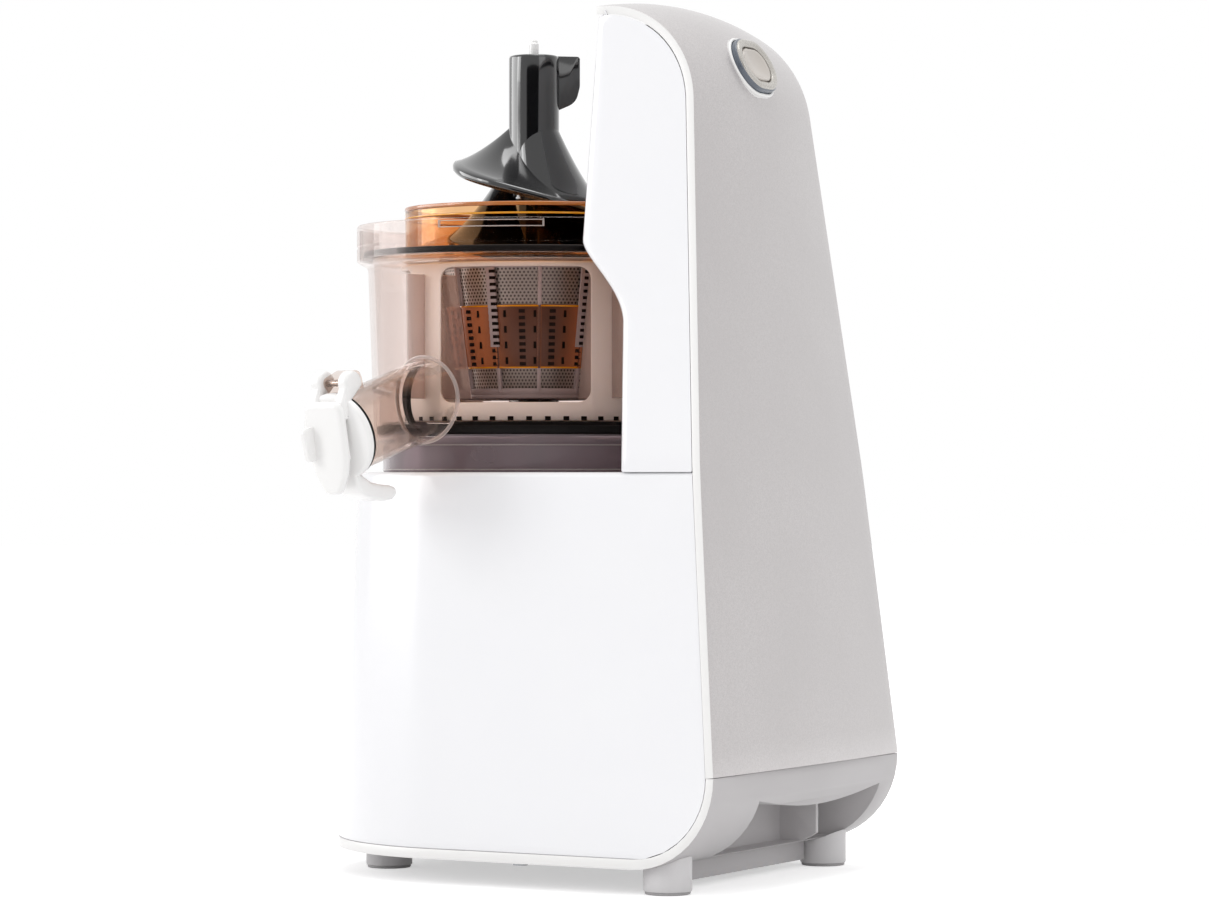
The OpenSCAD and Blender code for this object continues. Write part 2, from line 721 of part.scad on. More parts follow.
module brush_wipers() {
    blade = 2;
    bite = 0.01;
    root = cage_r - bite;
    wall = drum_foot_inner_r - turn_gap;
    z0 = window_z0 + 2;
    z1 = window_z1 - 3;
    color("linen") for (i = [0 : windows - 1]) rotate(window_turn + (i + 0.5) * 360 / windows)
        rotate([90, 0, 0]) linear_extrude(blade, center = true) {
            polygon([[root, z0], [wall, z0], [wall + 1, z1], [root, z1]]);
            polygon([[root - cage_wall + 2 * bite, z0], [root - cage_wall + 2 * bite, z1],
                     [strainer_out(z1) + turn_gap, z1], [strainer_out(z0) + turn_gap, z0]]);
        }
}
module brush_pinion() {
    color("ivory") translate([idler_x, 0, 0]) difference() {
        gear(idler_teeth, brush_module, cage_z, gear_face - 2, 0);
        translate([0, 0, cage_z - past]) cylinder(r = idler_pin_r + run_gap, h = 3 * past);
    }
}
function strainer_out(z) = mix(strainer_foot_r, strainer_top_r,
    (z - strainer_z) / (ledge_z - strainer_z));
mesh_t = 0.8;
module cup(out, wall, z0, z1) {
    rotate_extrude() polygon([[strainer_out(z0) + out - wall, z0], [strainer_out(z0) + out, z0],
        [strainer_out(z1) + out, z1], [strainer_out(z1) + out - wall, z1]]);
}
band_low = 0.22;
band_high = 0.68;
module strainer_mesh() {
    color("lightsteelblue") cup(-strainer_wall, mesh_t, strainer_z + 2, ledge_z);
}
module strainer_frame() {
    span = ledge_z - strainer_z;
    rim = strainer_z + 5;
    step = strainer_z + 2;
    rib = 0.4;
    color("darkorange") {
        rotate_extrude() polygon([[hub_top_r + 3, strainer_z], [strainer_foot_r, strainer_z],
            [strainer_out(rim), rim], [strainer_out(rim) - strainer_wall, rim],
            [strainer_out(step) - strainer_wall, step], [hub_top_r + 3, step]]);
        cup(0, strainer_wall, strainer_z + band_low * span, strainer_z + band_high * span);
        cup(0, strainer_wall, ledge_z - 3, ledge_z);
        for (i = [0 : 5]) rotate(i * 60) intersection() {
            cup(rib, strainer_wall + rib / 2, step + 1, ledge_z - 1);
            translate([0, -1.6, 0]) cube([2 * strainer_top_r, 3.2, 2 * ledge_z]);
        }
    }
}
module amber_collar() {
    color("orange", 0.7) {
        tube(drum_inner_r + 1 - fit_gap, strainer_top_r - strainer_wall - mesh_t, ledge_z,
            ledge_z + collar_flange_t);
        tube(collar_r, collar_r - 2, ledge_z + collar_flange_t, collar_top);
    }
}

// Auger
neck_r = hub_top_r;
flight_z = strainer_z + 4;
flight_top = ledge_z;
function hub_r(z) = z > collar_top + 30 ? hub_top_r
    : z > flight_top ? mix(hub_top_r + 2, hub_top_r, (z - flight_top) / (collar_top + 30 - flight_top))
    : mix(hub_foot_r, hub_top_r + 2, (z - flight_z) / (flight_top - flight_z));
flight_steps = 36;
// Ribbon that winds round the hub: each entry is [turn, height, outer radius, edge, rise at the hub,
// fall at the hub]
module ribbon(rows) {
    function cut(q) = let (inner = hub_r(q[1]) - 2)
        [for (p = [[inner, -q[3] / 2 - q[5]], [q[2], -q[3] / 2], [q[2], q[3] / 2],
                   [mix(inner, q[2], 0.5), q[3] / 2 + q[4] * 0.36], [inner, q[3] / 2 + q[4]]])
            [p[0] * cos(q[0]), p[0] * sin(q[0]), q[1] + p[1]]];
    loft([for (q = rows) cut(q)]);
}
flight_end = flight_top - 3;
flight_edge = 4.2;
wing_start = 165;
wing_end = wing_start + wing_sweep;
flare_start = wing_start + 90;
flare_drop = 40;
flare_end = wing_end + 180;
function wing_z(turn, last) = flight_end + flight_pitch * (last - turn) / 360;
module wing(rim) {
    ribbon([for (i = [flight_steps : -1 : 0])
        let (t = i / flight_steps, turn = mix(wing_start, wing_end, t))
        [turn, wing_z(turn, wing_end) + 2 * (1 - t), mix(hub_top_r + 1, mix(wing_r, rim, t), sqrt(min(1,
            t * 8))),
         flight_edge, mix(20, 4, t) * min(1, 0.4 + 5 * t), 4]]);
}
module flare(rim) {
    ribbon([for (i = [flight_steps : -1 : 0])
        let (t = i / flight_steps, turn = mix(flare_start, flare_end, t),
                                                   late = max(0, t - 0.78) / 0.22)
        [turn, wing_z(turn, flare_end) - flare_drop * (1 - t) ^ 2, mix(hub_top_r, rim, min(1,
            0.06 + t * 2)),
         flight_edge, mix(38, 3, late * late * (3 - 2 * late)), 4]]);
}
module lower_flight(start) {
    ribbon([for (i = [0 : flight_steps]) let (z = mix(flight_z + 3, flight_end, i / flight_steps))
        [start + 360 * (flight_end - z) / flight_pitch, z,
         strainer_out(z) - strainer_wall - mesh_t - turn_gap, 3.4, 3, 3]]);
}
module auger() {
    rim = strainer_top_r - strainer_wall - mesh_t - turn_gap;
    color("dimgray") resize([0, 0, 0]) difference() {
        union() {
            rotate_extrude() polygon(concat(
                [[0, cage_z + gear_face], [neck_r, cage_z + gear_face], [neck_r, flight_z]],
                [for (i = [0 : 12]) let (z = mix(flight_z, auger_top, i / 12)) [hub_r(z), z]],
                [[0, auger_top]]));
            lower_flight(wing_end);
            lower_flight(flare_end);
            wing(rim);
            flare(rim);
            rotate(40) rotate([90, 0, 0]) linear_extrude(3.6, center = true)
                translate([0, auger_top - 30])
                polygon([[0, 0], [12, 3], [18, 5.5], [22, 10], [23, 15], [23, 30], [0, 30]]);
        }
        translate([0, 0, cage_z]) cylinder(r = shaft_r, h = socket_top - cage_z, $fn = 48);
    }
}
module auger_pinion() {
    color("ivory") difference() {
        gear(auger_teeth, brush_module, cage_z, gear_face, 180 / auger_teeth);
        translate([0, 0, cage_z - past]) cylinder(r = shaft_r, h = gear_face + 2 * past);
    }
}
module auger_tip_pin() {
    color("whitesmoke")
        translate([0, 0, auger_top]) { cylinder(r = 2.4, h = 6); cylinder(r = 1.8, h = 8); }
}

// Tap
cap_x = 1.8;
cap_t = 4;
cap_r = spout_r + 2;
ear_gap = boss_w + 2 * fit_gap;
ear_t = 3.6;
ear_r = 5.8;
ear_skin = 1;
tongue_w = 16;
pin_l = ear_gap + 2 * (ear_t - ear_skin);
module spout_gasket() {
    color("black") at_mouth() translate([fit_gap, 0, 0]) rotate([0, 90, 0]) difference() {
        cylinder(r = spout_r, h = cap_x - fit_gap);
        translate([0, 0, -past]) cylinder(r = spout_r - 4, h = 2 * past);
    }
}
module hinge_pin(r) { translate([-2, 0, tap_hinge_h]) rotate([90, 0, 0])
    cylinder(r = r, h = pin_l, center = true); }
module tap_cap() {
    color("white") at_mouth() difference() {
        union() {
            translate([cap_x, 0, 0]) rotate([0, 90, 0]) cylinder(r = cap_r, h = cap_t);
            for (s = [-1, 1]) translate([0, s * (ear_gap + ear_t) / 2, 0]) rotate([90, 0, 0])
                linear_extrude(ear_t, center = true) {
                translate([-2, tap_hinge_h]) circle(ear_r);
                polygon([[-2, tap_hinge_h + ear_r], [cap_x, tap_hinge_h + ear_r - 1.4], [cap_x + cap_t,
                    tap_hinge_h],
                         [cap_x + cap_t, cap_r - 5], [cap_x, cap_r - 5], [cap_x, tap_hinge_h - ear_r],
                         [-2, tap_hinge_h - ear_r]]);
            }
            translate([0, 0, -cap_r]) rotate([90, 0, 0]) linear_extrude(tongue_w, center = true) polygon([
                [cap_x + cap_t, 3], [cap_x + cap_t, -4], [2, -7.5], [-6, -10.5], [-20, -15.5], [-24,
                    -16.5],
                [-26, -15], [-26, -12.5], [-23, -11.5], [-14, -8.5], [-5, -4.5], [-1, -1], [cap_x, 2]]);
            translate([cap_x + cap_t, -7, -10]) cube([thumb_x - cap_x - cap_t, 14, 22]);
        }
        hinge_pin(tap_pin_r);
    }
}
module tap_thumb_plate() {
    color("white") at_mouth() {
        translate([thumb_x, 0, -14]) rotate([0, 90, 0]) cylinder(r = thumb_w / 2, h = thumb_t);
        translate([thumb_x, -thumb_w / 2, -14]) cube([thumb_t, thumb_w, 28]);
        translate([thumb_x + thumb_t, fin_y - fin_t / 2, fin_top - 16]) cube([fin_l, fin_t, 16]);
    }
}
module tap_pin() {
    color("silver") at_mouth() hinge_pin(tap_pin_r);
}

placed() base_shell();
placed() column_shell();
placed() rear_cover();
placed() base_tray();
placed() deck_plate();
placed() feet();
placed() foot_pads();
placed() case_screws();
placed() rocker_bezel();
placed() rocker_button();
placed() switch_body();
placed() cord_gland();
placed() circuit_board();
placed() motor();
placed() motor_pinion();
placed() stage_gear();
placed() output_gear();
placed() drive_shaft();
placed() shaft_bushes();
placed() lower_gear_plate();
placed() upper_gear_plate();
placed() plate_spacers();
placed() drum();
placed() juice_spout();
placed() pulp_chute();
placed() drum_gasket();
placed() lid_seal();
placed() lock_mark();
placed() brush_cage();
placed() brush_wipers();
placed() brush_pinion();
placed() strainer_mesh();
placed() strainer_frame();
placed() amber_collar();
placed() auger();
placed() auger_pinion();
placed() auger_tip_pin();
placed() spout_gasket();
placed() tap_cap();
placed() tap_thumb_plate();
placed() tap_pin();
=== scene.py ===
import logging
import math
from dataclasses import dataclass
from enum import Enum
from functools import partial
from typing import Callable, Iterable, Sequence

import bmesh
import bpy
from bpy.types import Material, Mesh, MeshPolygon, Node, NodeSocket, NodeTree, Object, World
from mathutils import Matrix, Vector


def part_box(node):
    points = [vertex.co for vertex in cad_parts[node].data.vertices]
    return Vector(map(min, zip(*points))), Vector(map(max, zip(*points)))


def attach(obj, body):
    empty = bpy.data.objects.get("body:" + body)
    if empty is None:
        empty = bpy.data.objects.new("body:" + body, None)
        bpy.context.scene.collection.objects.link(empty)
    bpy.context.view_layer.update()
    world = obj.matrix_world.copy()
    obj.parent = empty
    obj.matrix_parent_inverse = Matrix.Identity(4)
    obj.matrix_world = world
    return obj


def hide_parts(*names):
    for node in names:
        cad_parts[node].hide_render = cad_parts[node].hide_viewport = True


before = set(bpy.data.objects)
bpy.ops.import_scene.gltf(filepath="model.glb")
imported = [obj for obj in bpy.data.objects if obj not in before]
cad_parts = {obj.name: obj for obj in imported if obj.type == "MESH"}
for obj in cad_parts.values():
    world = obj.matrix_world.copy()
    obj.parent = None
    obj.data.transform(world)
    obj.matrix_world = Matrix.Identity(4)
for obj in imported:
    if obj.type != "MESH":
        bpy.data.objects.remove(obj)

Pair = tuple[float, float]
Triple = tuple[float, float, float]
Section = tuple[float, float, float, float, float, float]
Outline = Sequence[Pair]
Spot = Callable[[float, float, float], Vector]
Choice = Callable[[MeshPolygon], int]

log = logging.getLogger("juicer")
MM = 0.001
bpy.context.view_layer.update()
SHAFT_LOW, SHAFT_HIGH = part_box("drive_shaft")
AXIS = Vector(((SHAFT_LOW.x + SHAFT_HIGH.x) / 2, (SHAFT_LOW.y + SHAFT_HIGH.y) / 2, 0.0))


def at(x: float, y: float, z: float) -> Vector:
    """Turns millimetres from the foot of the drum axis into a point of the frame.

    Args:
        x: distance towards the rear column.
        y: distance away from the juice spout.
        z: height over the worktop.

    Returns:
        The point in metres.
    """
    return AXIS + Vector((x, y, z)) * MM


def mix(a: float, b: float, t: float) -> float:
    """Gives the value that lies the share t of the way from a to b."""
    return a + (b - a) * t


def even(a: float, b: float, count: int) -> list[float]:
    """Gives the values of equal steps from a to b, both included."""
    return [mix(a, b, i / count) for i in range(count + 1)]


def polar(r: float, a: float, z: float) -> Vector:
    """Gives the frame point at a radius round the drum axis, an angle in radians and a height."""
    return at(r * math.cos(a), r * math.sin(a), z)


def angles(*degrees: float) -> list[float]:
    """Turns degrees into radians."""
    return [math.radians(d) for d in degrees]


def rounding(x: float, y: float, r: float, turns: Iterable[float]) -> list[Pair]:
    """Gives points of a round about a middle; an angle of 0 lies on its far side along y."""
    return [(x + r * math.sin(a), y + r * math.cos(a)) for a in turns]


def circle(count: int) -> list[float]:
    """Gives the angles of equal steps round a full turn, in radians."""
    return [2 * math.pi * i / count for i in range(count)]


# ---------------------------------------------------------------- finishes


def linear(code: str) -> tuple[float, float, float, float]:
    """Turns an sRGB hex colour into the linear colour that a shader takes.

    Args:
        code: six hex digits with a leading hash.

    Returns:
        Red, green, blue and an alpha of 1.
    """
    parts = [int(code[i : i + 2], 16) / 255 for i in (1, 3, 5)]
    return (*[p / 12.92 if p <= 0.04045 else ((p + 0.055) / 1.055) ** 2.4 for p in parts], 1.0)


def add(tree: NodeTree, kind: str, inputs: dict | None = None, **settings: object) -> Node:
    """Adds a node to a tree, with its settings, values and links.

    Args:
        tree: the shader or geometry tree.
        kind: the node's type name.
        inputs: a value, a hex colour, a socket, or a node for its first output, by name or number.
        **settings: properties of the node itself.

    Returns:
        The new node.
    """
    made = tree.nodes.new(kind)
    for key, value in settings.items():
        setattr(made, key, value)
    for key, value in (inputs or {}).items():
        if isinstance(value, Node):
            value = next(out for out in value.outputs if out.enabled)
        if isinstance(value, NodeSocket):
            tree.links.new(value, made.inputs[key])
        else:
            made.inputs[key].default_value = linear(value) if isinstance(value, str) else value
    return made


def blank_tree(owner: Material | World) -> NodeTree:
    """Turns on the nodes of a material or world and gives its tree, emptied."""
    owner.use_nodes = True
    owner.node_tree.nodes.clear()
    return owner.node_tree


@dataclass(frozen=True)
class Finish:
    """A surface finish that makes one material, once."""

    name: str

    def surface(self, tree: NodeTree, place: NodeSocket) -> Node:
        """Builds the shader.

        Args:
            tree: the material's tree.
            place: object coordinates in metres.

        Returns:
            The node that gives the shader.
        """
        raise NotImplementedError

    def material(self) -> Material:
        """Gives the material of this finish, and makes it the first time."""
        found = bpy.data.materials.get(self.name)
        if found is not None:
            return found
        made = bpy.data.materials.new(self.name)
        tree = blank_tree(made)
        place = add(tree, "ShaderNodeTexCoord").outputs["Object"]
        add(tree, "ShaderNodeOutputMaterial", {"Surface": self.surface(tree, place)})
        return made


@dataclass(frozen=True)
class MouldedPlastic(Finish):
    """Moulded plastic: a tone that drifts slowly over the wall, and the relief of the mould's surface."""

    colour: str
    deep: str
    rough: float
    relief_mm: float
    strength: float
    spread: float = 0.03
    coat: float = 0.0
    soft: float = 0.0
    ior: float = 1.5
    drift_mm: float = 55.0

    def surface(self, tree: NodeTree, place: NodeSocket) -> Node:
        """Builds the plastic; Args and Returns as in Finish."""
        drift = add(tree, "ShaderNodeTexNoise", {
            "Vector": place, "Scale": 1 / (self.drift_mm * MM), "Detail": 2.0})
        tone = add(tree, "ShaderNodeMix", {
            "Factor": drift, "A": self.colour, "B": self.deep}, data_type="RGBA")
        grain = add(tree, "ShaderNodeTexNoise", {
            "Vector": place, "Scale": 1 / (self.relief_mm * MM), "Detail": 3.0})
        rough = add(tree, "ShaderNodeMapRange", {
            "Value": grain, "To Min": self.rough - self.spread, "To Max": self.rough + self.spread})
        bump = add(tree, "ShaderNodeBump", {"Height": grain, "Strength": self.strength, "Distance": 0.1 * MM})
        return add(tree, "ShaderNodeBsdfPrincipled", {
            "Base Color": tone, "Roughness": rough, "Normal": bump, "IOR": self.ior, "Coat Weight": self.coat,
            "Coat Roughness": 0.08, "Subsurface Weight": self.soft,
            "Subsurface Radius": (0.004, 0.003, 0.002), "Subsurface Scale": 1.0})


@dataclass(frozen=True)
class Metal(Finish):
    """Bare or plated metal whose fine scratches run one way."""

    colour: str
    deep: str
    rough: float
    line_mm: Triple
    strength: float
    spread: float = 0.06

    def surface(self, tree: NodeTree, place: NodeSocket) -> Node:
        """Builds the metal; Args and Returns as in Finish."""
        stretched = add(tree, "ShaderNodeMapping", {
            "Vector": place, "Scale": tuple(1 / (size * MM) for size in self.line_mm)})
        lines = add(tree, "ShaderNodeTexNoise", {"Vector": stretched, "Scale": 1.0, "Detail": 4.0})
        tone = add(tree, "ShaderNodeMix", {
            "Factor": lines, "A": self.colour, "B": self.deep}, data_type="RGBA")
        rough = add(tree, "ShaderNodeMapRange", {
            "Value": lines, "To Min": self.rough - self.spread, "To Max": self.rough + self.spread})
        bump = add(tree, "ShaderNodeBump", {
            "Height": lines, "Strength": self.strength, "Distance": 0.05 * MM})
        return add(tree, "ShaderNodeBsdfPrincipled", {
            "Base Color": tone, "Metallic": 1.0, "Roughness": rough, "Normal": bump})


@dataclass(frozen=True)
class Lacquer(Finish):
    """Silver lacquer over plastic: fine bright flakes under a clear top coat."""

    colour: str
    flake: str
    rough: float
    flake_mm: float
    metal: float = 0.35
    spread: float = 0.05
    drift_mm: float = 70.0

    def surface(self, tree: NodeTree, place: NodeSocket) -> Node:
        """Builds the lacquer; Args and Returns as in Finish."""
        cells = add(tree, "ShaderNodeTexVoronoi", {"Vector": place, "Scale": 1 / (self.flake_mm * MM)})
        sparkle = add(tree, "ShaderNodeSeparateColor", {"Color": cells.outputs["Color"]})
        drift = add(tree, "ShaderNodeTexNoise", {
            "Vector": place, "Scale": 1 / (self.drift_mm * MM), "Detail": 1.0})
        share = add(tree, "ShaderNodeMath", {0: sparkle.outputs["Red"], 1: drift}, operation="MULTIPLY")
        tone = add(tree, "ShaderNodeMix", {
            "Factor": share, "A": self.colour, "B": self.flake}, data_type="RGBA")
        rough = add(tree, "ShaderNodeMapRange", {
            "Value": sparkle.outputs["Green"], "To Min": self.rough - self.spread,
            "To Max": self.rough + self.spread})
        return add(tree, "ShaderNodeBsdfPrincipled", {
            "Base Color": tone, "Metallic": self.metal, "Roughness": rough, "Coat Weight": 0.25,
            "Coat Roughness": 0.12, "IOR": 1.5})


@dataclass(frozen=True)
class ClearPlastic(Finish):
    """Tinted clear plastic: it shows what is behind it face on, and its own colour edge on."""

    tint: str
    body: str
    face_on: float
    edge_on: float
    rough: float = 0.04
    gloss_limit: float = 0.3
    power: float = 2.2
    mirror: float = 1.22
    mirror_start: float = 0.012
    spread: float = 0.05
    drift_mm: float = 30.0

    def surface(self, tree: NodeTree, place: NodeSocket) -> Node:
        """Builds the clear wall; Args and Returns as in Finish."""
        drift = add(tree, "ShaderNodeTexNoise", {
            "Vector": place, "Scale": 1 / (self.drift_mm * MM), "Detail": 2.0})
        tone = add(tree, "ShaderNodeMix", {"Factor": drift, "A": self.body, "B": self.tint}, data_type="RGBA")
        rough = add(tree, "ShaderNodeMapRange", {
            "Value": drift, "To Min": self.rough, "To Max": self.rough + self.spread})
        open_part = add(tree, "ShaderNodeBsdfTransparent", {"Color": self.tint})
        wall = add(tree, "ShaderNodeBsdfPrincipled", {"Base Color": tone, "Roughness": rough, "IOR": 1.5})
        facing = add(tree, "ShaderNodeLayerWeight", {"Blend": 0.5})
        bent = add(tree, "ShaderNodeMath", {0: facing.outputs["Facing"], 1: self.power}, operation="POWER")
        share = add(tree, "ShaderNodeMapRange", {
            "Value": bent, "To Min": self.face_on, "To Max": self.edge_on})
        both = add(tree, "ShaderNodeMixShader", {0: share, 1: open_part, 2: wall})
        gloss = add(tree, "ShaderNodeBsdfGlossy", {"Color": (1, 1, 1, 1), "Roughness": self.rough})
        mirror = add(tree, "ShaderNodeFresnel", {"IOR": self.mirror})
        # A faint mirror share face on would only bring grain, so it starts a little way round the wall.
        aslant = add(tree, "ShaderNodeMath", {0: mirror, 1: self.mirror_start},
                     operation="SUBTRACT", use_clamp=True)
        limit = add(tree, "ShaderNodeMath", {0: aslant, 1: self.gloss_limit}, operation="MINIMUM")
        return add(tree, "ShaderNodeMixShader", {0: limit, 1: both, 2: gloss})


@dataclass(frozen=True)
class FaceShadedPlastic(Finish):
    """Filled plastic with painted shade: dark where it is seen face on, standing for the shade and the black
    screw behind it, and its own colour aslant.
    """

    colour: str
    painted_shade: str
    rough: float
    turn: Pair
    spread: float = 0.06
    drift_mm: float = 16.0

    def surface(self, tree: NodeTree, place: NodeSocket) -> Node:
        """Builds the plastic; Args and Returns as in Finish."""
        drift = add(tree, "ShaderNodeTexNoise", {
            "Vector": place, "Scale": 1 / (self.drift_mm * MM), "Detail": 2.0})
        rough = add(tree, "ShaderNodeMapRange", {
            "Value": drift, "To Min": self.rough - self.spread, "To Max": self.rough + self.spread})
        facing = add(tree, "ShaderNodeLayerWeight", {"Blend": 0.5})
        share = add(tree, "ShaderNodeMapRange", {"Value": facing.outputs["Facing"], "From Min": self.turn[0],
                                                 "From Max": self.turn[1]}, interpolation_type="SMOOTHSTEP")
        # Painted shade face on, the plastic's own colour aslant.
        tone = add(tree, "ShaderNodeMix", {
            "Factor": share, "A": self.painted_shade, "B": self.colour}, data_type="RGBA")
        return add(tree, "ShaderNodeBsdfPrincipled", {"Base Color": tone, "Roughness": rough, "IOR": 1.4})


@dataclass(frozen=True)
class PerforatedSteel(Finish):
    """Stainless sheet with round holes in staggered rows, laid out on the piece's own map in millimetres.

    The real holes are about 0.6 mm at a 1.1 mm pitch, which is too fine to show, so they are drawn coarser,
    dark with painted shade. The steel is painted darker where it is seen face on, also as shade.
    """

    colour: str = "#cdc7c2"
    # Painted shade: the steel's tone where it is seen face on.
    painted_shade: str = "#8c8581"
    # Painted shade inside the drawn holes.
    hole: str = "#2c2624"
    pitch_mm: float = 1.9
    hole_mm: float = 0.55
    edge_mm: float = 0.12
    metal: float = 0.85
    rough: float = 0.36
    turn: Pair = (0.02, 0.25)

    def surface(self, tree: NodeTree, place: NodeSocket) -> Node:
        """Builds the sheet; Args and Returns as in Finish."""
        cell = (self.pitch_mm, self.pitch_mm * math.sqrt(3), 1.0)
        flat = add(tree, "ShaderNodeUVMap", uv_map="sheet")
        spans = []
        for shift in (0.0, 0.5):
            moved = add(tree, "ShaderNodeVectorMath", {0: flat, 1: cell}, operation="DIVIDE")
            stepped = add(tree, "ShaderNodeVectorMath", {0: moved, 1: (shift, shift, 0.0)}, operation="ADD")
            part = add(tree, "ShaderNodeVectorMath", {0: stepped}, operation="FRACTION")
            centred = add(tree, "ShaderNodeVectorMath", {0: part, 1: (0.5, 0.5, 0.0)}, operation="SUBTRACT")
            sized = add(tree, "ShaderNodeVectorMath", {0: centred, 1: cell}, operation="MULTIPLY")
            spans.append(add(tree, "ShaderNodeVectorMath", {0: sized}, operation="LENGTH"))
        near = add(tree, "ShaderNodeMath", {0: spans[0], 1: spans[1]}, operation="MINIMUM")
        open_share = add(tree, "ShaderNodeMapRange", {
            "Value": near, "From Min": self.hole_mm - self.edge_mm, "From Max": self.hole_mm + self.edge_mm,
            "To Min": 1.0, "To Max": 0.0})
        facing = add(tree, "ShaderNodeLayerWeight", {"Blend": 0.5})
        aslant = add(tree, "ShaderNodeMapRange", {"Value": facing.outputs["Facing"], "From Min": self.turn[0],
                                                  "From Max": self.turn[1]}, interpolation_type="SMOOTHSTEP")
        steel = add(tree, "ShaderNodeMix", {
            "Factor": aslant, "A": self.painted_shade, "B": self.colour}, data_type="RGBA")
        tone = add(tree, "ShaderNodeMix", {
            "Factor": open_share, "A": steel, "B": self.hole}, data_type="RGBA")
        metal = add(tree, "ShaderNodeMath", {0: self.metal, 1: open_share}, operation="SUBTRACT")
        bump = add(tree, "ShaderNodeBump", {"Height": near, "Strength": 0.4, "Distance": 0.1 * MM})
        return add(tree, "ShaderNodeBsdfPrincipled", {
            "Base Color": tone, "Metallic": metal, "Roughness": self.rough, "Normal": bump})


class Finishes:
    """Every finish of the machine, named for what it is made of, or for the painted light or shade that it
    carries.
    """

    # High-gloss moulded ABS: cool white, sharp but soft-edged reflections from a slightly wavy mould skin.
    WHITE = MouldedPlastic("gloss_white_abs", "#f7f7f9", "#f4f4f7", 0.18, 9.0, 0.05, 0.02)
    # The same ABS without polish: the cover's edge strip, pale partly as painted highlight of the cover's
    # rounded edge, and the tray's side band.
    OFF_WHITE = MouldedPlastic("satin_white_abs", "#f3f2f1", "#efeeed", 0.38, 0.8, 0.10)
    # Silver lacquered ABS: satin grey with a faint sparkle.
    SILVER = Lacquer("silver_lacquered_abs", "#bcb8b8", "#d0cccc", 0.34, 0.5)
    # Satin light grey ABS with a fine spark-eroded skin.
    TRAY = MouldedPlastic("satin_grey_abs", "#c5c2c3", "#bcb9ba", 0.46, 0.7, 0.25)
    FOOT = MouldedPlastic("satin_foot_abs", "#dedcdd", "#d6d4d5", 0.5, 0.7, 0.25)
    # Soft thermoplastic rubber: dull, with a broad sheen.
    PAD = MouldedPlastic("grey_rubber", "#b4b2b3", "#a9a7a8", 0.7, 0.5, 0.5)
    SEAL = MouldedPlastic("black_silicone", "#0c0b0c", "#111011", 0.5, 0.6, 0.3, ior=1.25)
    NYLON_BLACK = MouldedPlastic("black_nylon", "#1b1b1c", "#222224", 0.5, 0.6, 0.35)
    # Cream nylon seen through the smoke of the drum.
    CREAM = MouldedPlastic("cream_nylon", "#f7f0ea", "#f0e7e0", 0.4, 0.9, 0.2, soft=0.1)
    WIPER = ClearPlastic("milky_silicone", "#e8dcd7", "#c3afa9", 0.35, 0.8, 0.3, 0.2, 1.5)
    ACETAL = MouldedPlastic("ivory_acetal", "#e9e2cf", "#dfd7c2", 0.36, 0.8, 0.2)
    BOARD = MouldedPlastic("green_laminate", "#2c5a3a", "#24503a", 0.4, 0.4, 0.2, coat=0.3)
    # Polished black polyetherimide: near mirror gloss with pale streaks of the studio.
    AUGER = MouldedPlastic("polished_black_pei", "#0a0a0c", "#101012", 0.12, 6.0, 0.1, 0.03, coat=0.7)
    TAP = MouldedPlastic("white_abs", "#f8f7f6", "#f4f3f2", 0.26, 2.5, 0.06)
    RED = MouldedPlastic("red_print", "#d23c55", "#c8334c", 0.4, 0.6, 0.1)
    # Dark blocks that stand for slits, notches and gaps: painted shade of the openings.
    SLOT_SHADE = MouldedPlastic("painted_slot_shade", "#170d08", "#120a06", 0.8, 0.5, 0.2, ior=1.2)
    RING = Lacquer("warm_ring_lacquer", "#b4b0aa", "#c6c2bc", 0.3, 0.5, 0.4)
    # The ring's outer wall: slate grey, its own blue-grey taken as dark as its shaded side, so partly painted
    # shade; it sets the switch off from the silver.
    SLATE = MouldedPlastic("slate_ring_abs", "#646b76", "#565d68", 0.3, 1.5, 0.08, coat=0.3)
    CAP = MouldedPlastic("warm_cap_abs", "#c6bfb8", "#bab3ac", 0.3, 1.5, 0.08, coat=0.3)
    # Clear copolyester with a breath of smoke: the cage shows pale tan through it.
    SMOKE = ClearPlastic("smoke_copolyester", "#faf5f3", "#cbbab5", 0.0, 0.45, power=3.0)
    # The spout's thin pipe in the same plastic, dark where the wall is seen edge on.
    SMOKE_PIPE = ClearPlastic("smoke_copolyester_pipe", "#f5eeea", "#6f5c56", 0.0, 0.85, power=6.0)
    # The foot of the same drum, under its floor: darker and lilac grey.
    SMOKE_FOOT = ClearPlastic("smoke_copolyester_foot", "#b8a8ac", "#8a797f", 0.34, 0.8, 0.1, power=1.6)
    # Thick rounded rims of the same plastic: less clear, and painted pale as the highlight that they gather.
    SMOKE_RIM_HIGHLIGHT = ClearPlastic("smoke_copolyester_rim_highlight", "#ece2de", "#e6dcd8", 0.3, 0.9, 0.05, 0.6, 2.0)
    AMBER = ClearPlastic("amber_pei", "#f5dabb", "#d08e50", 0.0, 0.7, 0.06, power=3.5)
    # The collar's thick rim.
    AMBER_RIM = MouldedPlastic("amber_pei_rim", "#c67a2c", "#a9622a", 0.2, 2.0, 0.05, coat=0.5, soft=0.2)
    # The band's edges and the collar's raised line, painted bright as the highlight that they gather.
    AMBER_HIGHLIGHT = MouldedPlastic("amber_pei_edge_highlight", "#f2a21e", "#ea9216", 0.2, 2.0, 0.05, coat=0.4, soft=0.3)
    # Dark face on: painted shade and dark reflection, as of the black screw and the shadow behind the band.
    BAND = FaceShadedPlastic("amber_filled_pei", "#c47a50", "#5e3a29", 0.38, (0.02, 0.24))
    COMB = MouldedPlastic("dark_comb_silicone", "#2a1f1c", "#211816", 0.8, 0.8, 0.2, ior=1.2)
    COMB_PALE = MouldedPlastic("pale_comb_silicone", "#b9aeb0", "#aca1a4", 0.45, 0.8, 0.2)
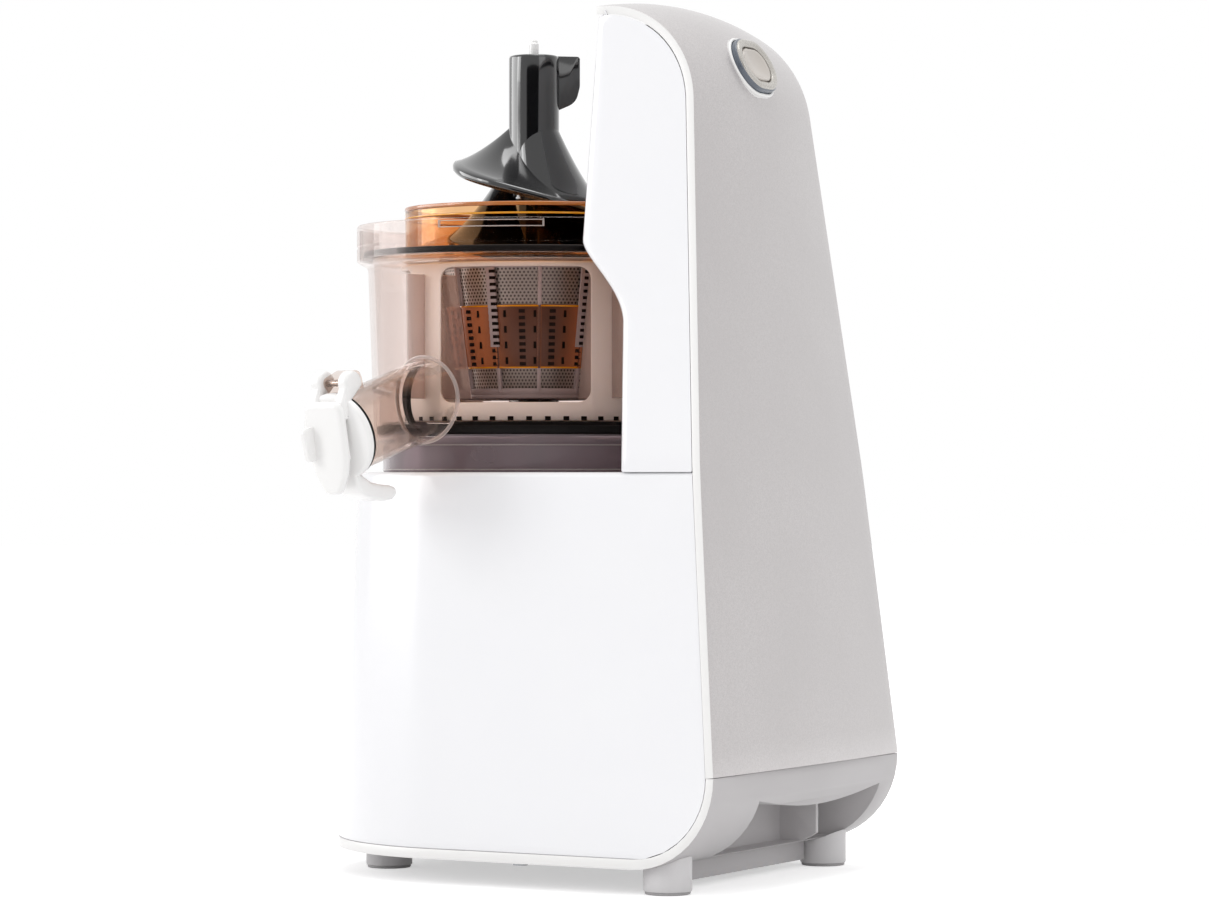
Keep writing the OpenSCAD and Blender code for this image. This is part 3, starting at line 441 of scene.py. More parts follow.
    # Painted shade: darker face on and in its drawn holes.
    MESH = PerforatedSteel("perforated_stainless")
    STEEL = Metal("ground_stainless", "#c3c2c0", "#a9a8a7", 0.26, (0.3, 0.3, 14.0), 0.3)
    ZINC = Metal("zinc_plated_steel", "#b4b6b8", "#9c9ea1", 0.38, (0.6, 9.0, 0.6), 0.3)
    LAMINATED = Metal("laminated_motor_steel", "#8d8d92", "#6f6f74", 0.42, (12.0, 12.0, 0.5), 0.6)
    BRASS = Metal("machined_brass", "#c9a45a", "#b08c45", 0.3, (0.4, 0.4, 6.0), 0.3)
    BRONZE = Metal("sintered_bronze", "#a87d4f", "#8c6540", 0.5, (0.3, 0.3, 0.3), 0.5)


# ---------------------------------------------------------------- shapes


def new_object(name: str, mesh: Mesh) -> Object:
    """Links a new object that holds a mesh.

    Args:
        name: the piece's name.
        mesh: its mesh, in the frame's metres.

    Returns:
        The object, at the origin.
    """
    obj = bpy.data.objects.new(name, mesh)
    bpy.context.scene.collection.objects.link(obj)
    return obj


def from_bmesh(name: str, bm: bmesh.types.BMesh) -> Object:
    """Turns a bmesh into an object and frees it."""
    mesh = bpy.data.meshes.new(name)
    bm.to_mesh(mesh)
    bm.free()
    return new_object(name, mesh)


def loft(name: str, rings: Sequence[Sequence[Vector]], round_ring: bool = True,
         round_path: bool = False) -> Object:
    """Joins rings of points with equal counts into one skin, and fills the ends of a tube.

    Args:
        name: the piece's name.
        rings: the rings, in order along the path.
        round_ring: whether each ring closes on itself.
        round_path: whether the last ring joins the first.

    Returns:
        The object, its faces pointing outwards.
    """
    bm = bmesh.new()
    rows = [[bm.verts.new(p) for p in ring] for ring in rings]
    count = len(rows[0])
    steps = range(count) if round_ring else range(count - 1)
    path = range(len(rows)) if round_path else range(len(rows) - 1)
    for k in path:
        low, high = rows[k], rows[(k + 1) % len(rows)]
        for i in steps:
            j = (i + 1) % count
            bm.faces.new((low[i], low[j], high[j], high[i]))
    if round_ring and not round_path:
        bm.faces.new(rows[0][::-1])
        bm.faces.new(rows[-1])
    bmesh.ops.remove_doubles(bm, verts=bm.verts, dist=1e-7)
    bmesh.ops.recalc_face_normals(bm, faces=bm.faces)
    return from_bmesh(name, bm)


def fillet(points: Outline, radii: Sequence[float], steps: int = 5) -> list[Pair]:
    """Rounds the corners of a closed flat outline.

    Args:
        points: the corners, in millimetres.
        radii: a radius for each corner; 0 keeps it sharp.
        steps: points on each round.

    Returns:
        The rounded outline.
    """
    out: list[Pair] = []
    count = len(points)
    for i, (p, r) in enumerate(zip(points, radii)):
        if r <= 0:
            out.append(p)
            continue
        here, back, ahead = Vector(p), Vector(points[i - 1]), Vector(points[(i + 1) % count])
        a, b = (back - here), (ahead - here)
        turn = a.angle(b)
        if turn > math.pi - 1e-3:
            out.append(p)
            continue
        run = min(r / math.tan(turn / 2), 0.49 * a.length, 0.49 * b.length)
        a.normalize()
        b.normalize()
        radius = run * math.tan(turn / 2)
        centre = here + (a + b).normalized() * radius / math.sin(turn / 2)
        start, end = here + a * run - centre, here + b * run - centre
        sweep = start.angle(end)
        for k in range(steps + 1):
            t = k / steps
            if sweep < 1e-6:
                q = start
            else:
                q = (start * math.sin((1 - t) * sweep) + end * math.sin(t * sweep)) / math.sin(sweep)
            out.append(tuple(centre + q))
    return out


def revolve(name: str, profile: Outline, steps: int = 128, middle: Pair = (0.0, 0.0)) -> Object:
    """Turns a closed outline of radius and height round an upright axis.

    Args:
        name: the piece's name.
        profile: radius and height of each point, in millimetres.
        steps: faces round the axis.
        middle: the axis, in millimetres from the drum axis.

    Returns:
        The object.
    """
    rings = [[at(middle[0] + r * math.cos(a), middle[1] + r * math.sin(a), z) for r, z in profile]
             for a in circle(steps)]
    return loft(name, rings, True, True)


def stack(name: str, spot: Spot, rows: Outline, steps: int) -> Object:
    """Turns an open outline round the first axis of a local frame and fills its ends.

    Args:
        name: the piece's name.
        spot: gives the frame point for a point of the local frame.
        rows: place along the axis and radius of each ring.
        steps: faces round the axis.

    Returns:
        The closed piece.
    """
    return loft(name, [[spot(x, r * math.cos(a), r * math.sin(a)) for a in circle(steps)] for x, r in rows])


def slab(name: str, outline: Outline, place: Spot, run: Pair, soft: float) -> Object:
    """Builds a flat piece from its outline, with rounded rims.

    Args:
        name: the piece's name.
        outline: the outline's points in order, in millimetres.
        place: gives the frame point for a point of the outline and a height through the thickness.
        run: where the thickness starts and ends.
        soft: radius of the rims.

    Returns:
        The closed piece.
    """
    count = len(outline)
    around = [Vector(outline[(i + 1) % count]) - Vector(outline[i - 1]) for i in range(count)]
    turn = sum(p[0] * q[1] - q[0] * p[1] for p, q in zip(outline, [*outline[1:], outline[0]]))
    inward = [Vector((-v.y, v.x)).normalized() * math.copysign(1.0, turn) for v in around]
    turns = angles(0, 22, 45, 68, 90)
    levels = [(run[0] + soft * (1 - math.sin(a)), soft * (1 - math.cos(a))) for a in reversed(turns)]
    levels += [(run[1] - soft * (1 - math.sin(a)), soft * (1 - math.cos(a))) for a in turns]
    return loft(name, [[place(p[0] + n.x * inset, p[1] + n.y * inset, w) for p, n in zip(outline, inward)]
                       for w, inset in levels])


def soften(obj: Object, edge_mm: float, segments: int, limit: float) -> None:
    """Puts a bevel of a width in millimetres on the edges that turn past a limit in degrees."""
    soft = obj.modifiers.new("edge", "BEVEL")
    soft.width = edge_mm * MM
    soft.segments = segments
    soft.limit_method = "ANGLE"
    soft.angle_limit = math.radians(limit)


def fair_copy(node: str, name: str, edge_mm: float) -> Object:
    """Copies a solid of the frame as clean faces with softened edges, its bevel still live."""
    bm = bmesh.new()
    bm.from_mesh(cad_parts[node].data)
    bmesh.ops.remove_doubles(bm, verts=bm.verts, dist=3e-6)
    bmesh.ops.dissolve_limit(bm, angle_limit=math.radians(0.6), verts=bm.verts, edges=bm.edges)
    obj = from_bmesh(name, bm)
    soften(obj, edge_mm, 2, 32.0)
    return obj


def cut(obj: Object, tool: Object, kind: str = "DIFFERENCE") -> None:
    """Cuts an object with another, or joins the two, and removes the other."""
    mod = obj.modifiers.new("cut", "BOOLEAN")
    mod.operation = kind
    mod.solver = "EXACT"
    mod.object = tool
    apply(obj)
    bpy.data.objects.remove(tool)


def apply(obj: Object) -> None:
    """Replaces an object's mesh by its evaluated one and clears its modifiers."""
    bpy.context.view_layer.update()
    graph = bpy.context.evaluated_depsgraph_get()
    mesh = bpy.data.meshes.new_from_object(obj.evaluated_get(graph), preserve_all_data_layers=True,
                                           depsgraph=graph)
    mesh.name = obj.name
    obj.modifiers.clear()
    obj.data = mesh


def settle(obj: Object, body: str, finishes: Finish | Sequence[Finish], nodes: Iterable[str] = (),
           sharp: float = 34.0, choose: Choice | None = None) -> Object:
    """Finishes a piece: applies its modifiers, shades it, dresses it and ties it to its body.

    Args:
        obj: the piece.
        body: the body that it rides on.
        finishes: one finish, or one for each material index.
        nodes: the solids of the frame that it stands for.
        sharp: the angle in degrees past which an edge stays sharp.
        choose: gives the material index of a face.

    Returns:
        The same object.
    """
    apply(obj)
    mesh = obj.data
    mesh.shade_smooth()
    mesh.set_sharp_from_angle(angle=math.radians(sharp))
    mesh.materials.clear()
    for finish in ([finishes] if isinstance(finishes, Finish) else finishes):
        mesh.materials.append(finish.material())
    if choose is not None:
        for face in mesh.polygons:
            face.material_index = choose(face)
    else:
        mesh.polygons.foreach_set("material_index", [0] * len(mesh.polygons))
    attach(obj, body)
    if nodes:
        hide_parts(*nodes)
    log.info("%s on %s: %d faces", obj.name, body, len(mesh.polygons))
    return obj


def soft_copy(node: str, name: str, edge_mm: float, body: str, finish: Finish) -> None:
    """Stands a copy with softened edges in for a solid of the frame; the arguments are as in settle."""
    settle(fair_copy(node, name, edge_mm), body, finish, [node])


def dress(node: str, finish: Finish) -> None:
    """Gives a solid of the frame that stays its own finish."""
    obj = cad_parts[node]
    if not obj.material_slots:
        obj.data.materials.append(None)
    for held in obj.material_slots:
        held.link = "OBJECT"
        held.material = finish.material()
    log.info("%s keeps its solid, in %s", node, finish.name)


def join(name: str, parts: Sequence[Object]) -> Object:
    """Gathers several objects into one mesh and removes them.

    Args:
        name: the new piece's name.
        parts: the objects.

    Returns:
        The piece.
    """
    bm = bmesh.new()
    for part in parts:
        apply(part)
        bm.from_mesh(part.data)
        bpy.data.objects.remove(part)
    return from_bmesh(name, bm)


@dataclass(frozen=True)
class WallSlots:
    """Rows of small blocks set round an upright cone or cylinder, made by one Geometry Nodes tree."""

    columns: int
    rows: int
    radii: Pair
    heights: Pair
    block: Triple
    turn: float = 0.0

    def tree(self) -> NodeTree:
        """Gives the shared tree, and builds it the first time."""
        found = bpy.data.node_groups.get("wall_slots")
        if found is not None:
            return found
        tree = bpy.data.node_groups.new("wall_slots", "GeometryNodeTree")
        for label, kind in (("Columns", "Int"), ("Rows", "Int"), ("Foot Radius", "Float"),
                            ("Top Radius", "Float"), ("Foot Height", "Float"), ("Top Height", "Float"),
                            ("Block", "Vector"), ("Middle", "Vector"), ("Turn", "Float"), ("Sweep", "Float"),
                            ("Finish", "Material")):
            tree.interface.new_socket(label, in_out="INPUT", socket_type=f"NodeSocket{kind}")
        tree.interface.new_socket("Geometry", in_out="OUTPUT", socket_type="NodeSocketGeometry")
        given = add(tree, "NodeGroupInput").outputs
        grid = add(tree, "GeometryNodeMeshGrid", {
            "Size X": 1.0, "Size Y": 1.0, "Vertices X": given["Columns"], "Vertices Y": given["Rows"]})
        spot = add(tree, "ShaderNodeSeparateXYZ", {"Vector": add(tree, "GeometryNodeInputPosition")})
        across = add(tree, "ShaderNodeMath", {0: spot.outputs["X"], 1: 0.5}, operation="ADD")
        up = add(tree, "ShaderNodeMath", {0: spot.outputs["Y"], 1: 0.5}, operation="ADD")
        angle = add(tree, "ShaderNodeMath", {
            0: across, 1: given["Sweep"], 2: given["Turn"]}, operation="MULTIPLY_ADD")
        radius = add(tree, "ShaderNodeMapRange", {
            "Value": up, "To Min": given["Foot Radius"], "To Max": given["Top Radius"]})
        height = add(tree, "ShaderNodeMapRange", {
            "Value": up, "To Min": given["Foot Height"], "To Max": given["Top Height"]})
        parts = [add(tree, "ShaderNodeMath", {
            0: add(tree, "ShaderNodeMath", {0: angle}, operation=name), 1: radius}, operation="MULTIPLY")
                 for name in ("COSINE", "SINE")]
        flat = add(tree, "ShaderNodeCombineXYZ", {"X": parts[0], "Y": parts[1], "Z": height})
        centred = add(tree, "ShaderNodeVectorMath", {0: flat, 1: given["Middle"]}, operation="ADD")
        placed = add(tree, "GeometryNodeSetPosition", {"Geometry": grid, "Position": centred})
        off = add(tree, "ShaderNodeVectorMath", {
            0: add(tree, "GeometryNodeInputPosition"), 1: given["Middle"]}, operation="SUBTRACT")
        split = add(tree, "ShaderNodeSeparateXYZ", {"Vector": off})
        heading = add(tree, "ShaderNodeMath", {0: split.outputs["Y"], 1: split.outputs["X"]},
                      operation="ARCTAN2")
        facing = add(tree, "ShaderNodeCombineXYZ", {"Z": heading})
        block = add(tree, "GeometryNodeMeshCube", {"Size": given["Block"]})
        many = add(tree, "GeometryNodeInstanceOnPoints", {
            "Points": placed, "Instance": block, "Rotation": facing})
        real = add(tree, "GeometryNodeRealizeInstances", {"Geometry": many})
        coated = add(tree, "GeometryNodeSetMaterial", {"Geometry": real, "Material": given["Finish"]})
        add(tree, "NodeGroupOutput", {"Geometry": coated})
        return tree

    def build(self, name: str, body: str, slot: str, finish: Finish) -> Object:
        """Makes the blocks as one piece and ties it to its body.

        Args:
            name: the piece's name.
            body: the body that it rides on.
            slot: the record's material slot; it is not used.
            finish: its finish.

        Returns:
            The piece.
        """
        obj = new_object(name, bpy.data.meshes.new(name))
        tree = self.tree()
        mod = obj.modifiers.new("slots", "NODES")
        mod.node_group = tree
        sweep = 2 * math.pi * (self.columns - 1) / self.columns
        values = {"Columns": self.columns, "Rows": self.rows, "Foot Radius": self.radii[0] * MM,
                  "Top Radius": self.radii[1] * MM, "Foot Height": self.heights[0] * MM,
                  "Top Height": self.heights[1] * MM, "Block": tuple(v * MM for v in self.block),
                  "Middle": tuple(AXIS), "Turn": math.radians(self.turn),
                  "Sweep": sweep, "Finish": finish.material()}
        for item in tree.interface.items_tree:
            if item.in_out == "INPUT":
                mod[item.identifier] = values[item.name]
        return settle(obj, body, finish)


# ---------------------------------------------------------------- the machine


@dataclass
class Housing:
    """White base and column, silver rear cover, tray and feet. Every size is in millimetres."""

    foot_r: float = 97.0
    deck_r: float = 87.0
    rear: float = 152.0
    lean: float = 28 / 294
    seam_z: float = 56.0
    shell_z: float = 17.0
    deck_z: float = 197.0
    top_z: float = 420.0
    rear_half: float = 102.0
    deck_half: float = 89.0
    top_half: float = 56.0
    crest_r: float = 52.0
    crest: Pair = (70.05, 368.0)
    crown: float = 5.0
    cover: float = 4.0
    groove: float = 0.35
    foot_gap: float = 0.3
    deck_hole: float = 60.0
    feet_at: tuple[Pair, ...] = ((-66, -30), (-66, 30), (119, -84), (119, 84))
    waist_foot: float = 95.5
    waist: Pair = (91.0, 266.0)
    head: Pair = (66.0, 307.0)
    waist_turn: float = 0.78
    scoop_r: float = 90.0
    scoop_z: float = 328.0
    wall: float = 2.6

    def rear_x(self, z: float) -> float:
        """Gives the rear edge at a height."""
        return self.rear - (z - self.seam_z) * self.lean

    def half(self, z: float) -> float:
        """Gives half the width of the machine at its rear at a height."""
        if z < self.seam_z:
            return self.rear_half
        if z < self.deck_z:
            return mix(self.rear_half, self.deck_half, (z - self.seam_z) / (self.deck_z - self.seam_z))
        return mix(self.deck_half, self.top_half, (z - self.deck_z) / (self.top_z - self.deck_z))

    def crest_at(self, degrees: float, r: float) -> Pair:
        """Gives a point of the crest's round, as distance to the rear and height."""
        a = math.radians(degrees)
        return self.crest[0] + r * math.cos(a), self.crest[1] + r * math.sin(a)

    def front_x(self, z: float) -> float:
        """Gives the front of the column at a height."""
        if z <= self.waist[1]:
            return mix(self.waist_foot, self.waist[0], (z - self.deck_z) / (self.waist[1] - self.deck_z))
        if z >= self.head[1]:
            return self.head[0]
        t = ((self.head[1] - z) / (self.head[1] - self.waist[1])) ** self.waist_turn
        return mix(self.head[0], self.waist[0], t * t * (3 - 2 * t))

    def column(self) -> Object:
        """Builds the white column: side walls, rounded front corners and the scoop behind the drum."""
        inset = self.cover + self.groove
        lean = math.degrees(math.atan(self.lean))
        top, start = self.top_z - inset, self.crest_at(lean, self.crest_r)[1]
        spine = [(self.rear_x(z) - inset, z) for z in even(self.deck_z, start, 20)[:-1]]
        spine += [self.crest_at(a, self.crest_r - inset) for a in even(lean, 90, 40)]
        run = [0.0]
        for p, q in zip(spine, spine[1:]):
            run.append(run[-1] + math.dist(p, q))

        def rear_point(share: float) -> Pair:
            """Gives the point at a share of the rear path's length."""
            goal = share * run[-1]
            k = next((i for i in range(1, len(run)) if run[i] >= goal), len(run) - 1)
            t = (goal - run[k - 1]) / max(run[k] - run[k - 1], 1e-9)
            return mix(spine[k - 1][0], spine[k][0], t), mix(spine[k - 1][1], spine[k][1], t)

        low = (205, 220, 236, 250, 260, *range(266, 309, 2), 313, 318, 323, self.scoop_z)
        heights = [(self.deck_z, 0.7, True), (self.deck_z + 0.25, 0.2, True), (self.deck_z + 0.8, 0.0, True)]
        heights += [(z, 0.0, True) for z in low]
        heights += [(z, 0.0, False) for z in (self.scoop_z, *range(334, 414, 4), top - 1.2)]
        heights += [(top - 0.3, 0.25, False), (top, 0.9, False)]
        corner, sides, across = 4.0, 10, 44
        rings = []
        for z, trim, scooped in heights:
            front, half = self.front_x(z) + trim, self.half(z) - trim
            back = rear_point((z - self.deck_z) / (top - self.deck_z))
            left = []
            for t in even(0, 1, sides)[:-1]:
                x, h = mix(back[0] - trim, front + corner, t), mix(back[1], z, t)
                left.append((x, self.half(h) - trim, h))
            for a in angles(*even(0, 90, 6)):
                left.append((front + corner - corner * math.sin(a), half - corner + corner * math.cos(a), z))
            middle = []
            for y in even(half - corner, corner - half, across)[1:-1]:
                x = front
                if scooped and abs(y) < self.scoop_r:
                    x = max(front, math.sqrt(self.scoop_r**2 - y * y) + trim)
                middle.append((x, y, z))
            rings.append([at(*p) for p in left + middle + [(x, -y, h) for x, y, h in reversed(left)]])
        shell = loft("column_shell_skin", rings, False)
        self.thicken(shell)
        return settle(shell, "housing", Finishes.WHITE, ["column_shell"])

    def thicken(self, obj: Object) -> None:
        """Gives an open skin its wall, on its inner side."""
        bm = bmesh.new()
        bm.from_mesh(obj.data)
        face = max(bm.faces, key=lambda f: f.calc_center_median().y)
        if face.normal.y < 0:
            bmesh.ops.reverse_faces(bm, faces=bm.faces)
        bm.to_mesh(obj.data)
        bm.free()
        mod = obj.modifiers.new("wall", "SOLIDIFY")
        mod.thickness = self.wall * MM
        mod.offset = -1.0

    def base(self) -> Object:
        """Builds the white base from its lower seam over the deck's rounded edge to the hole in the deck."""
        heel_r = self.seam_z - self.shell_z
        rows = [(self.shell_z + 0.05, 0.6), (self.shell_z + 0.25, 0.2), (self.shell_z + 0.7, 0.0)]
        rows += [(z, 0.0) for z in (21, 26, 31, 36, 41, 46, 51, 56, 66, 80, 100, 120, 140, 160, 180)]
        soft = 2.5
        rows += [(self.deck_z - soft + soft * math.sin(a), soft - soft * math.cos(a))
                 for a in angles(*range(0, 91, 15))]
        sides, arc = 14, 72
        rings = []
        for z, trim in rows:
            r = mix(self.foot_r, self.deck_r, (z - self.shell_z) / (self.deck_z - self.shell_z)) - trim
            back = self.rear_x(z) - self.cover
            if z < self.seam_z:
                back = self.rear - self.cover - heel_r + math.sqrt(max(heel_r**2 - (self.seam_z - z) ** 2, 0))
            back -= self.groove
            left = [(x, mix(r + trim, self.half(z), x / (self.rear + 5)) - trim, z)
                    for x in even(back, 0, sides)[:-1]]
            middle = [(r * math.cos(a), r * math.sin(a), z) for a in angles(*even(90, 270, arc))]
            rings.append(left + middle + [(x, -y, h) for x, y, h in reversed(left)])
        last = rings[-1]
        low, high = (math.atan2(p[1], p[0]) % (2 * math.pi) for p in (last[0], last[-1]))
        goal = []
        for p in last:
            a = 2 * math.pi * ((math.atan2(p[1], p[0]) % (2 * math.pi)) - low) / (high - low)
            goal.append((self.deck_hole * math.cos(a), self.deck_hole * math.sin(a), self.deck_z))
        for t in (0.15, 0.5, 1.0):
            rings.append([tuple(mix(a, b, t) for a, b in zip(p, q)) for p, q in zip(last, goal)])
        shell = loft("base_shell_skin", [[at(*p) for p in ring] for ring in rings], False)
        self.thicken(shell)
        return settle(shell, "housing", Finishes.WHITE, ["base_shell"])

    def rear_cover(self, opening: Callable[[str], Object]) -> Object:
        """Builds the silver cover, bulged across the machine, with its pale edge strip, which is partly a
        painted highlight of the cover's rounded edge.

        Args:
            opening: makes the solid that the rocker's hole is cut with.

        Returns:
            The piece.
        """
        lean = math.degrees(math.atan(self.lean))
        start = self.crest_at(lean, self.crest_r)[1]
        stations = [(self.rear_x(z), z, lean) for z in even(self.seam_z + self.foot_gap, start, 24)[:-1]]
        stations += [(*self.crest_at(a, self.crest_r), a) for a in even(lean, 90, 32)]
        stations.append((self.head[0], self.top_z, 90.0))
        columns = 28
        rings = []
        for x, z, a in stations:
            c, s = math.cos(math.radians(a)), math.sin(math.radians(a))
            ring = []
            for depth, order in ((0.0, range(columns + 1)), (self.cover, range(columns, -1, -1))):
                for j in order:
                    y = mix(-1, 1, j / columns)
                    out = self.crown * (1 - y * y) - depth
                    ring.append(at(x + out * c, y * self.half(z), z + out * s))
            rings.append(ring)
        skin = loft("rear_cover_skin", rings)
        cut(skin, opening("rocker_opening"))
        soften(skin, 0.9, 3, 45.0)

        # The pale strip on the side faces is partly painted highlight of the cover's rounded edge.
        def choose(face: MeshPolygon) -> int:
            """Picks the strip's finish for the side faces."""
            return 1 if abs(face.normal.y) > 0.72 and abs(face.center.y - AXIS.y) > 50 * MM else 0

        return settle(skin, "housing", [Finishes.SILVER, Finishes.OFF_WHITE],
                      ["rear_cover"], choose=choose)

    def tray(self) -> Object:
        """Softens the tray and gives its sides the pale finish of the cover's strip."""
        obj = fair_copy("base_tray", "base_tray_moulded", 0.7)

        def choose(face: MeshPolygon) -> int:
            """Picks the pale finish for the outer sides."""
            out = Vector((face.center.x - AXIS.x, face.center.y - AXIS.y, 0))
            side = abs(face.normal.z) < 0.4 and out.dot(Vector((*face.normal.xy, 0))) > 0
            ahead = out.x < 100 * MM or abs(face.normal.y) > 0.7
            return 1 if side and ahead and out.length > 80 * MM else 0

        return settle(obj, "housing", [Finishes.TRAY, Finishes.OFF_WHITE], ["base_tray"],
                      choose=choose)

    def feet(self) -> None:
        """Turns the feet and their soft pads."""
        pad = fillet([(0, 1.5), (0, 0), (10.8, 0), (10.8, 1.5)], [0, 0, 0.7, 0], 4)
        soft_copy("feet", "feet_moulded", 0.9, "housing", Finishes.FOOT)
        settle(join("foot_pads_moulded", [revolve("pad", pad, 48, p) for p in self.feet_at]), "housing",
               Finishes.PAD, ["foot_pads"])

    def inside(self) -> None:
        """Dresses the solids that stay inside the housing."""
        for node, finish in (("case_screws", Finishes.ZINC), ("switch_body", Finishes.NYLON_BLACK),
                             ("cord_gland", Finishes.NYLON_BLACK), ("circuit_board", Finishes.BOARD),
                             ("motor", Finishes.LAMINATED), ("motor_pinion", Finishes.BRASS),
                             ("stage_gear", Finishes.ACETAL), ("output_gear", Finishes.ACETAL),
                             ("shaft_bushes", Finishes.BRONZE), ("lower_gear_plate", Finishes.ZINC),
                             ("upper_gear_plate", Finishes.ZINC), ("plate_spacers", Finishes.ZINC),
                             ("drive_shaft", Finishes.STEEL)):
            dress(node, finish)

    def build(self, opening: Callable[[str], Object]) -> None:
        """Builds the whole housing."""
        self.column()
        self.base()
        self.rear_cover(opening)
        self.tray()
        self.feet()
        soft_copy("deck_plate", "deck_plate_moulded", 0.5, "housing", Finishes.TRAY)
        self.inside()


@dataclass
class Rocker:
    """Oval switch on the crest: stepped silver bezel and dished button."""

    width: float = 36.0
    height: float = 29.0
    tilt: float = 26.0
    ring: float = 5.0
    gap: float = 0.8
    fit: float = 0.3
    dish: float = 1.9
    sunk: float = 8.5
    steps: int = 24
    face: float = 57.0
    cut_run: Pair = (-14.0, 8.0)
    crest: Pair = Housing.crest

    def spot(self, x: float, y: float, z: float) -> Vector:
        """Gives a frame point for a point of the switch: x out of the cover, y across, z up the slope."""
        c, s = math.cos(math.radians(self.tilt)), math.sin(math.radians(self.tilt))
        px, pz = self.crest[0] + self.face * c, self.crest[1] + self.face * s
        return at(px + x * c - z * s, y, pz + x * s + z * c)

    def oval(self, inset: float, x: float, scale: float = 1.0) -> list[Vector]:
        """Gives one ring of the oval, inset from its outer edge, then scaled, at a height over the cover."""
        r, run = (self.height / 2 - inset) * scale, (self.width - self.height) / 2 * scale
        return [self.spot(x, side * run + r * math.sin(a), r * math.cos(a))
                for side, start in ((1, 0), (-1, 180))
                for a in angles(*even(start, start + 180, self.steps))]

    def ring_piece(self, name: str, section: Outline) -> Object:
        """Sweeps a closed section of inset and height round the oval."""
        return loft(name, [self.oval(d, x) for d, x in section], True, True)

    def opening(self, name: str) -> Object:
        """Gives the solid that the cover's hole is cut with."""
        return loft(name, [self.oval(0.0, x) for x in self.cut_run])

    def build(self) -> None:
        """Builds the bezel, the rim round it and the button."""
        bezel = fillet([(self.fit, -self.sunk), (self.fit, 2.3), (1.1, 2.7), (1.1, 3.3), (2.0, 3.9),
                        (3.4, 3.9), (4.2, 3.4), (self.ring, 2.9), (self.ring, -self.sunk)],
                       [0, 0.4, 0.2, 0.3, 0.4, 0.4, 0.3, 0.4, 0], 3)
        step = self.spot(2.55, 0, 0) - self.spot(0, 0, 0)
        axis, low = step.normalized(), self.spot(0, 0, 0)

        def choose(face: MeshPolygon) -> int:
            """Picks slate for the ring's outer wall under its step."""
            off = face.center - low
            height = off.dot(axis)
            return 1 if height < step.length and (off - axis * height).dot(face.normal) > 0 else 0

        settle(self.ring_piece("rocker_bezel_ring", bezel), "housing",
               [Finishes.RING, Finishes.SLATE], ["rocker_bezel"], sharp=50, choose=choose)
        rim = fillet([(0.0, -4.0), (-1.4, -4.0), (-1.4, -0.4), (-0.8, 0.3), (0.0, 0.1)],
                     [0, 0, 0.5, 0.4, 0.1], 3)
        settle(self.ring_piece("rocker_rim", rim), "housing", Finishes.OFF_WHITE, sharp=50)
        edge = self.ring + self.gap
        rings = [self.oval(edge, -5.5), self.oval(edge, 2.2)]
        rings += [self.oval(edge + 0.8 - 0.8 * math.cos(a), 2.2 + 0.8 * math.sin(a))
                  for a in angles(30, 60, 90)]
        for k in range(1, 11):
            t = 1 - k / 10
            rings.append(self.oval(edge + 0.8, 3.0 - self.dish * (1 - t**2.2), max(t, 0.02)))
        settle(loft("rocker_button_cap", rings), "rocker", Finishes.CAP, ["rocker_button"],
               sharp=50)


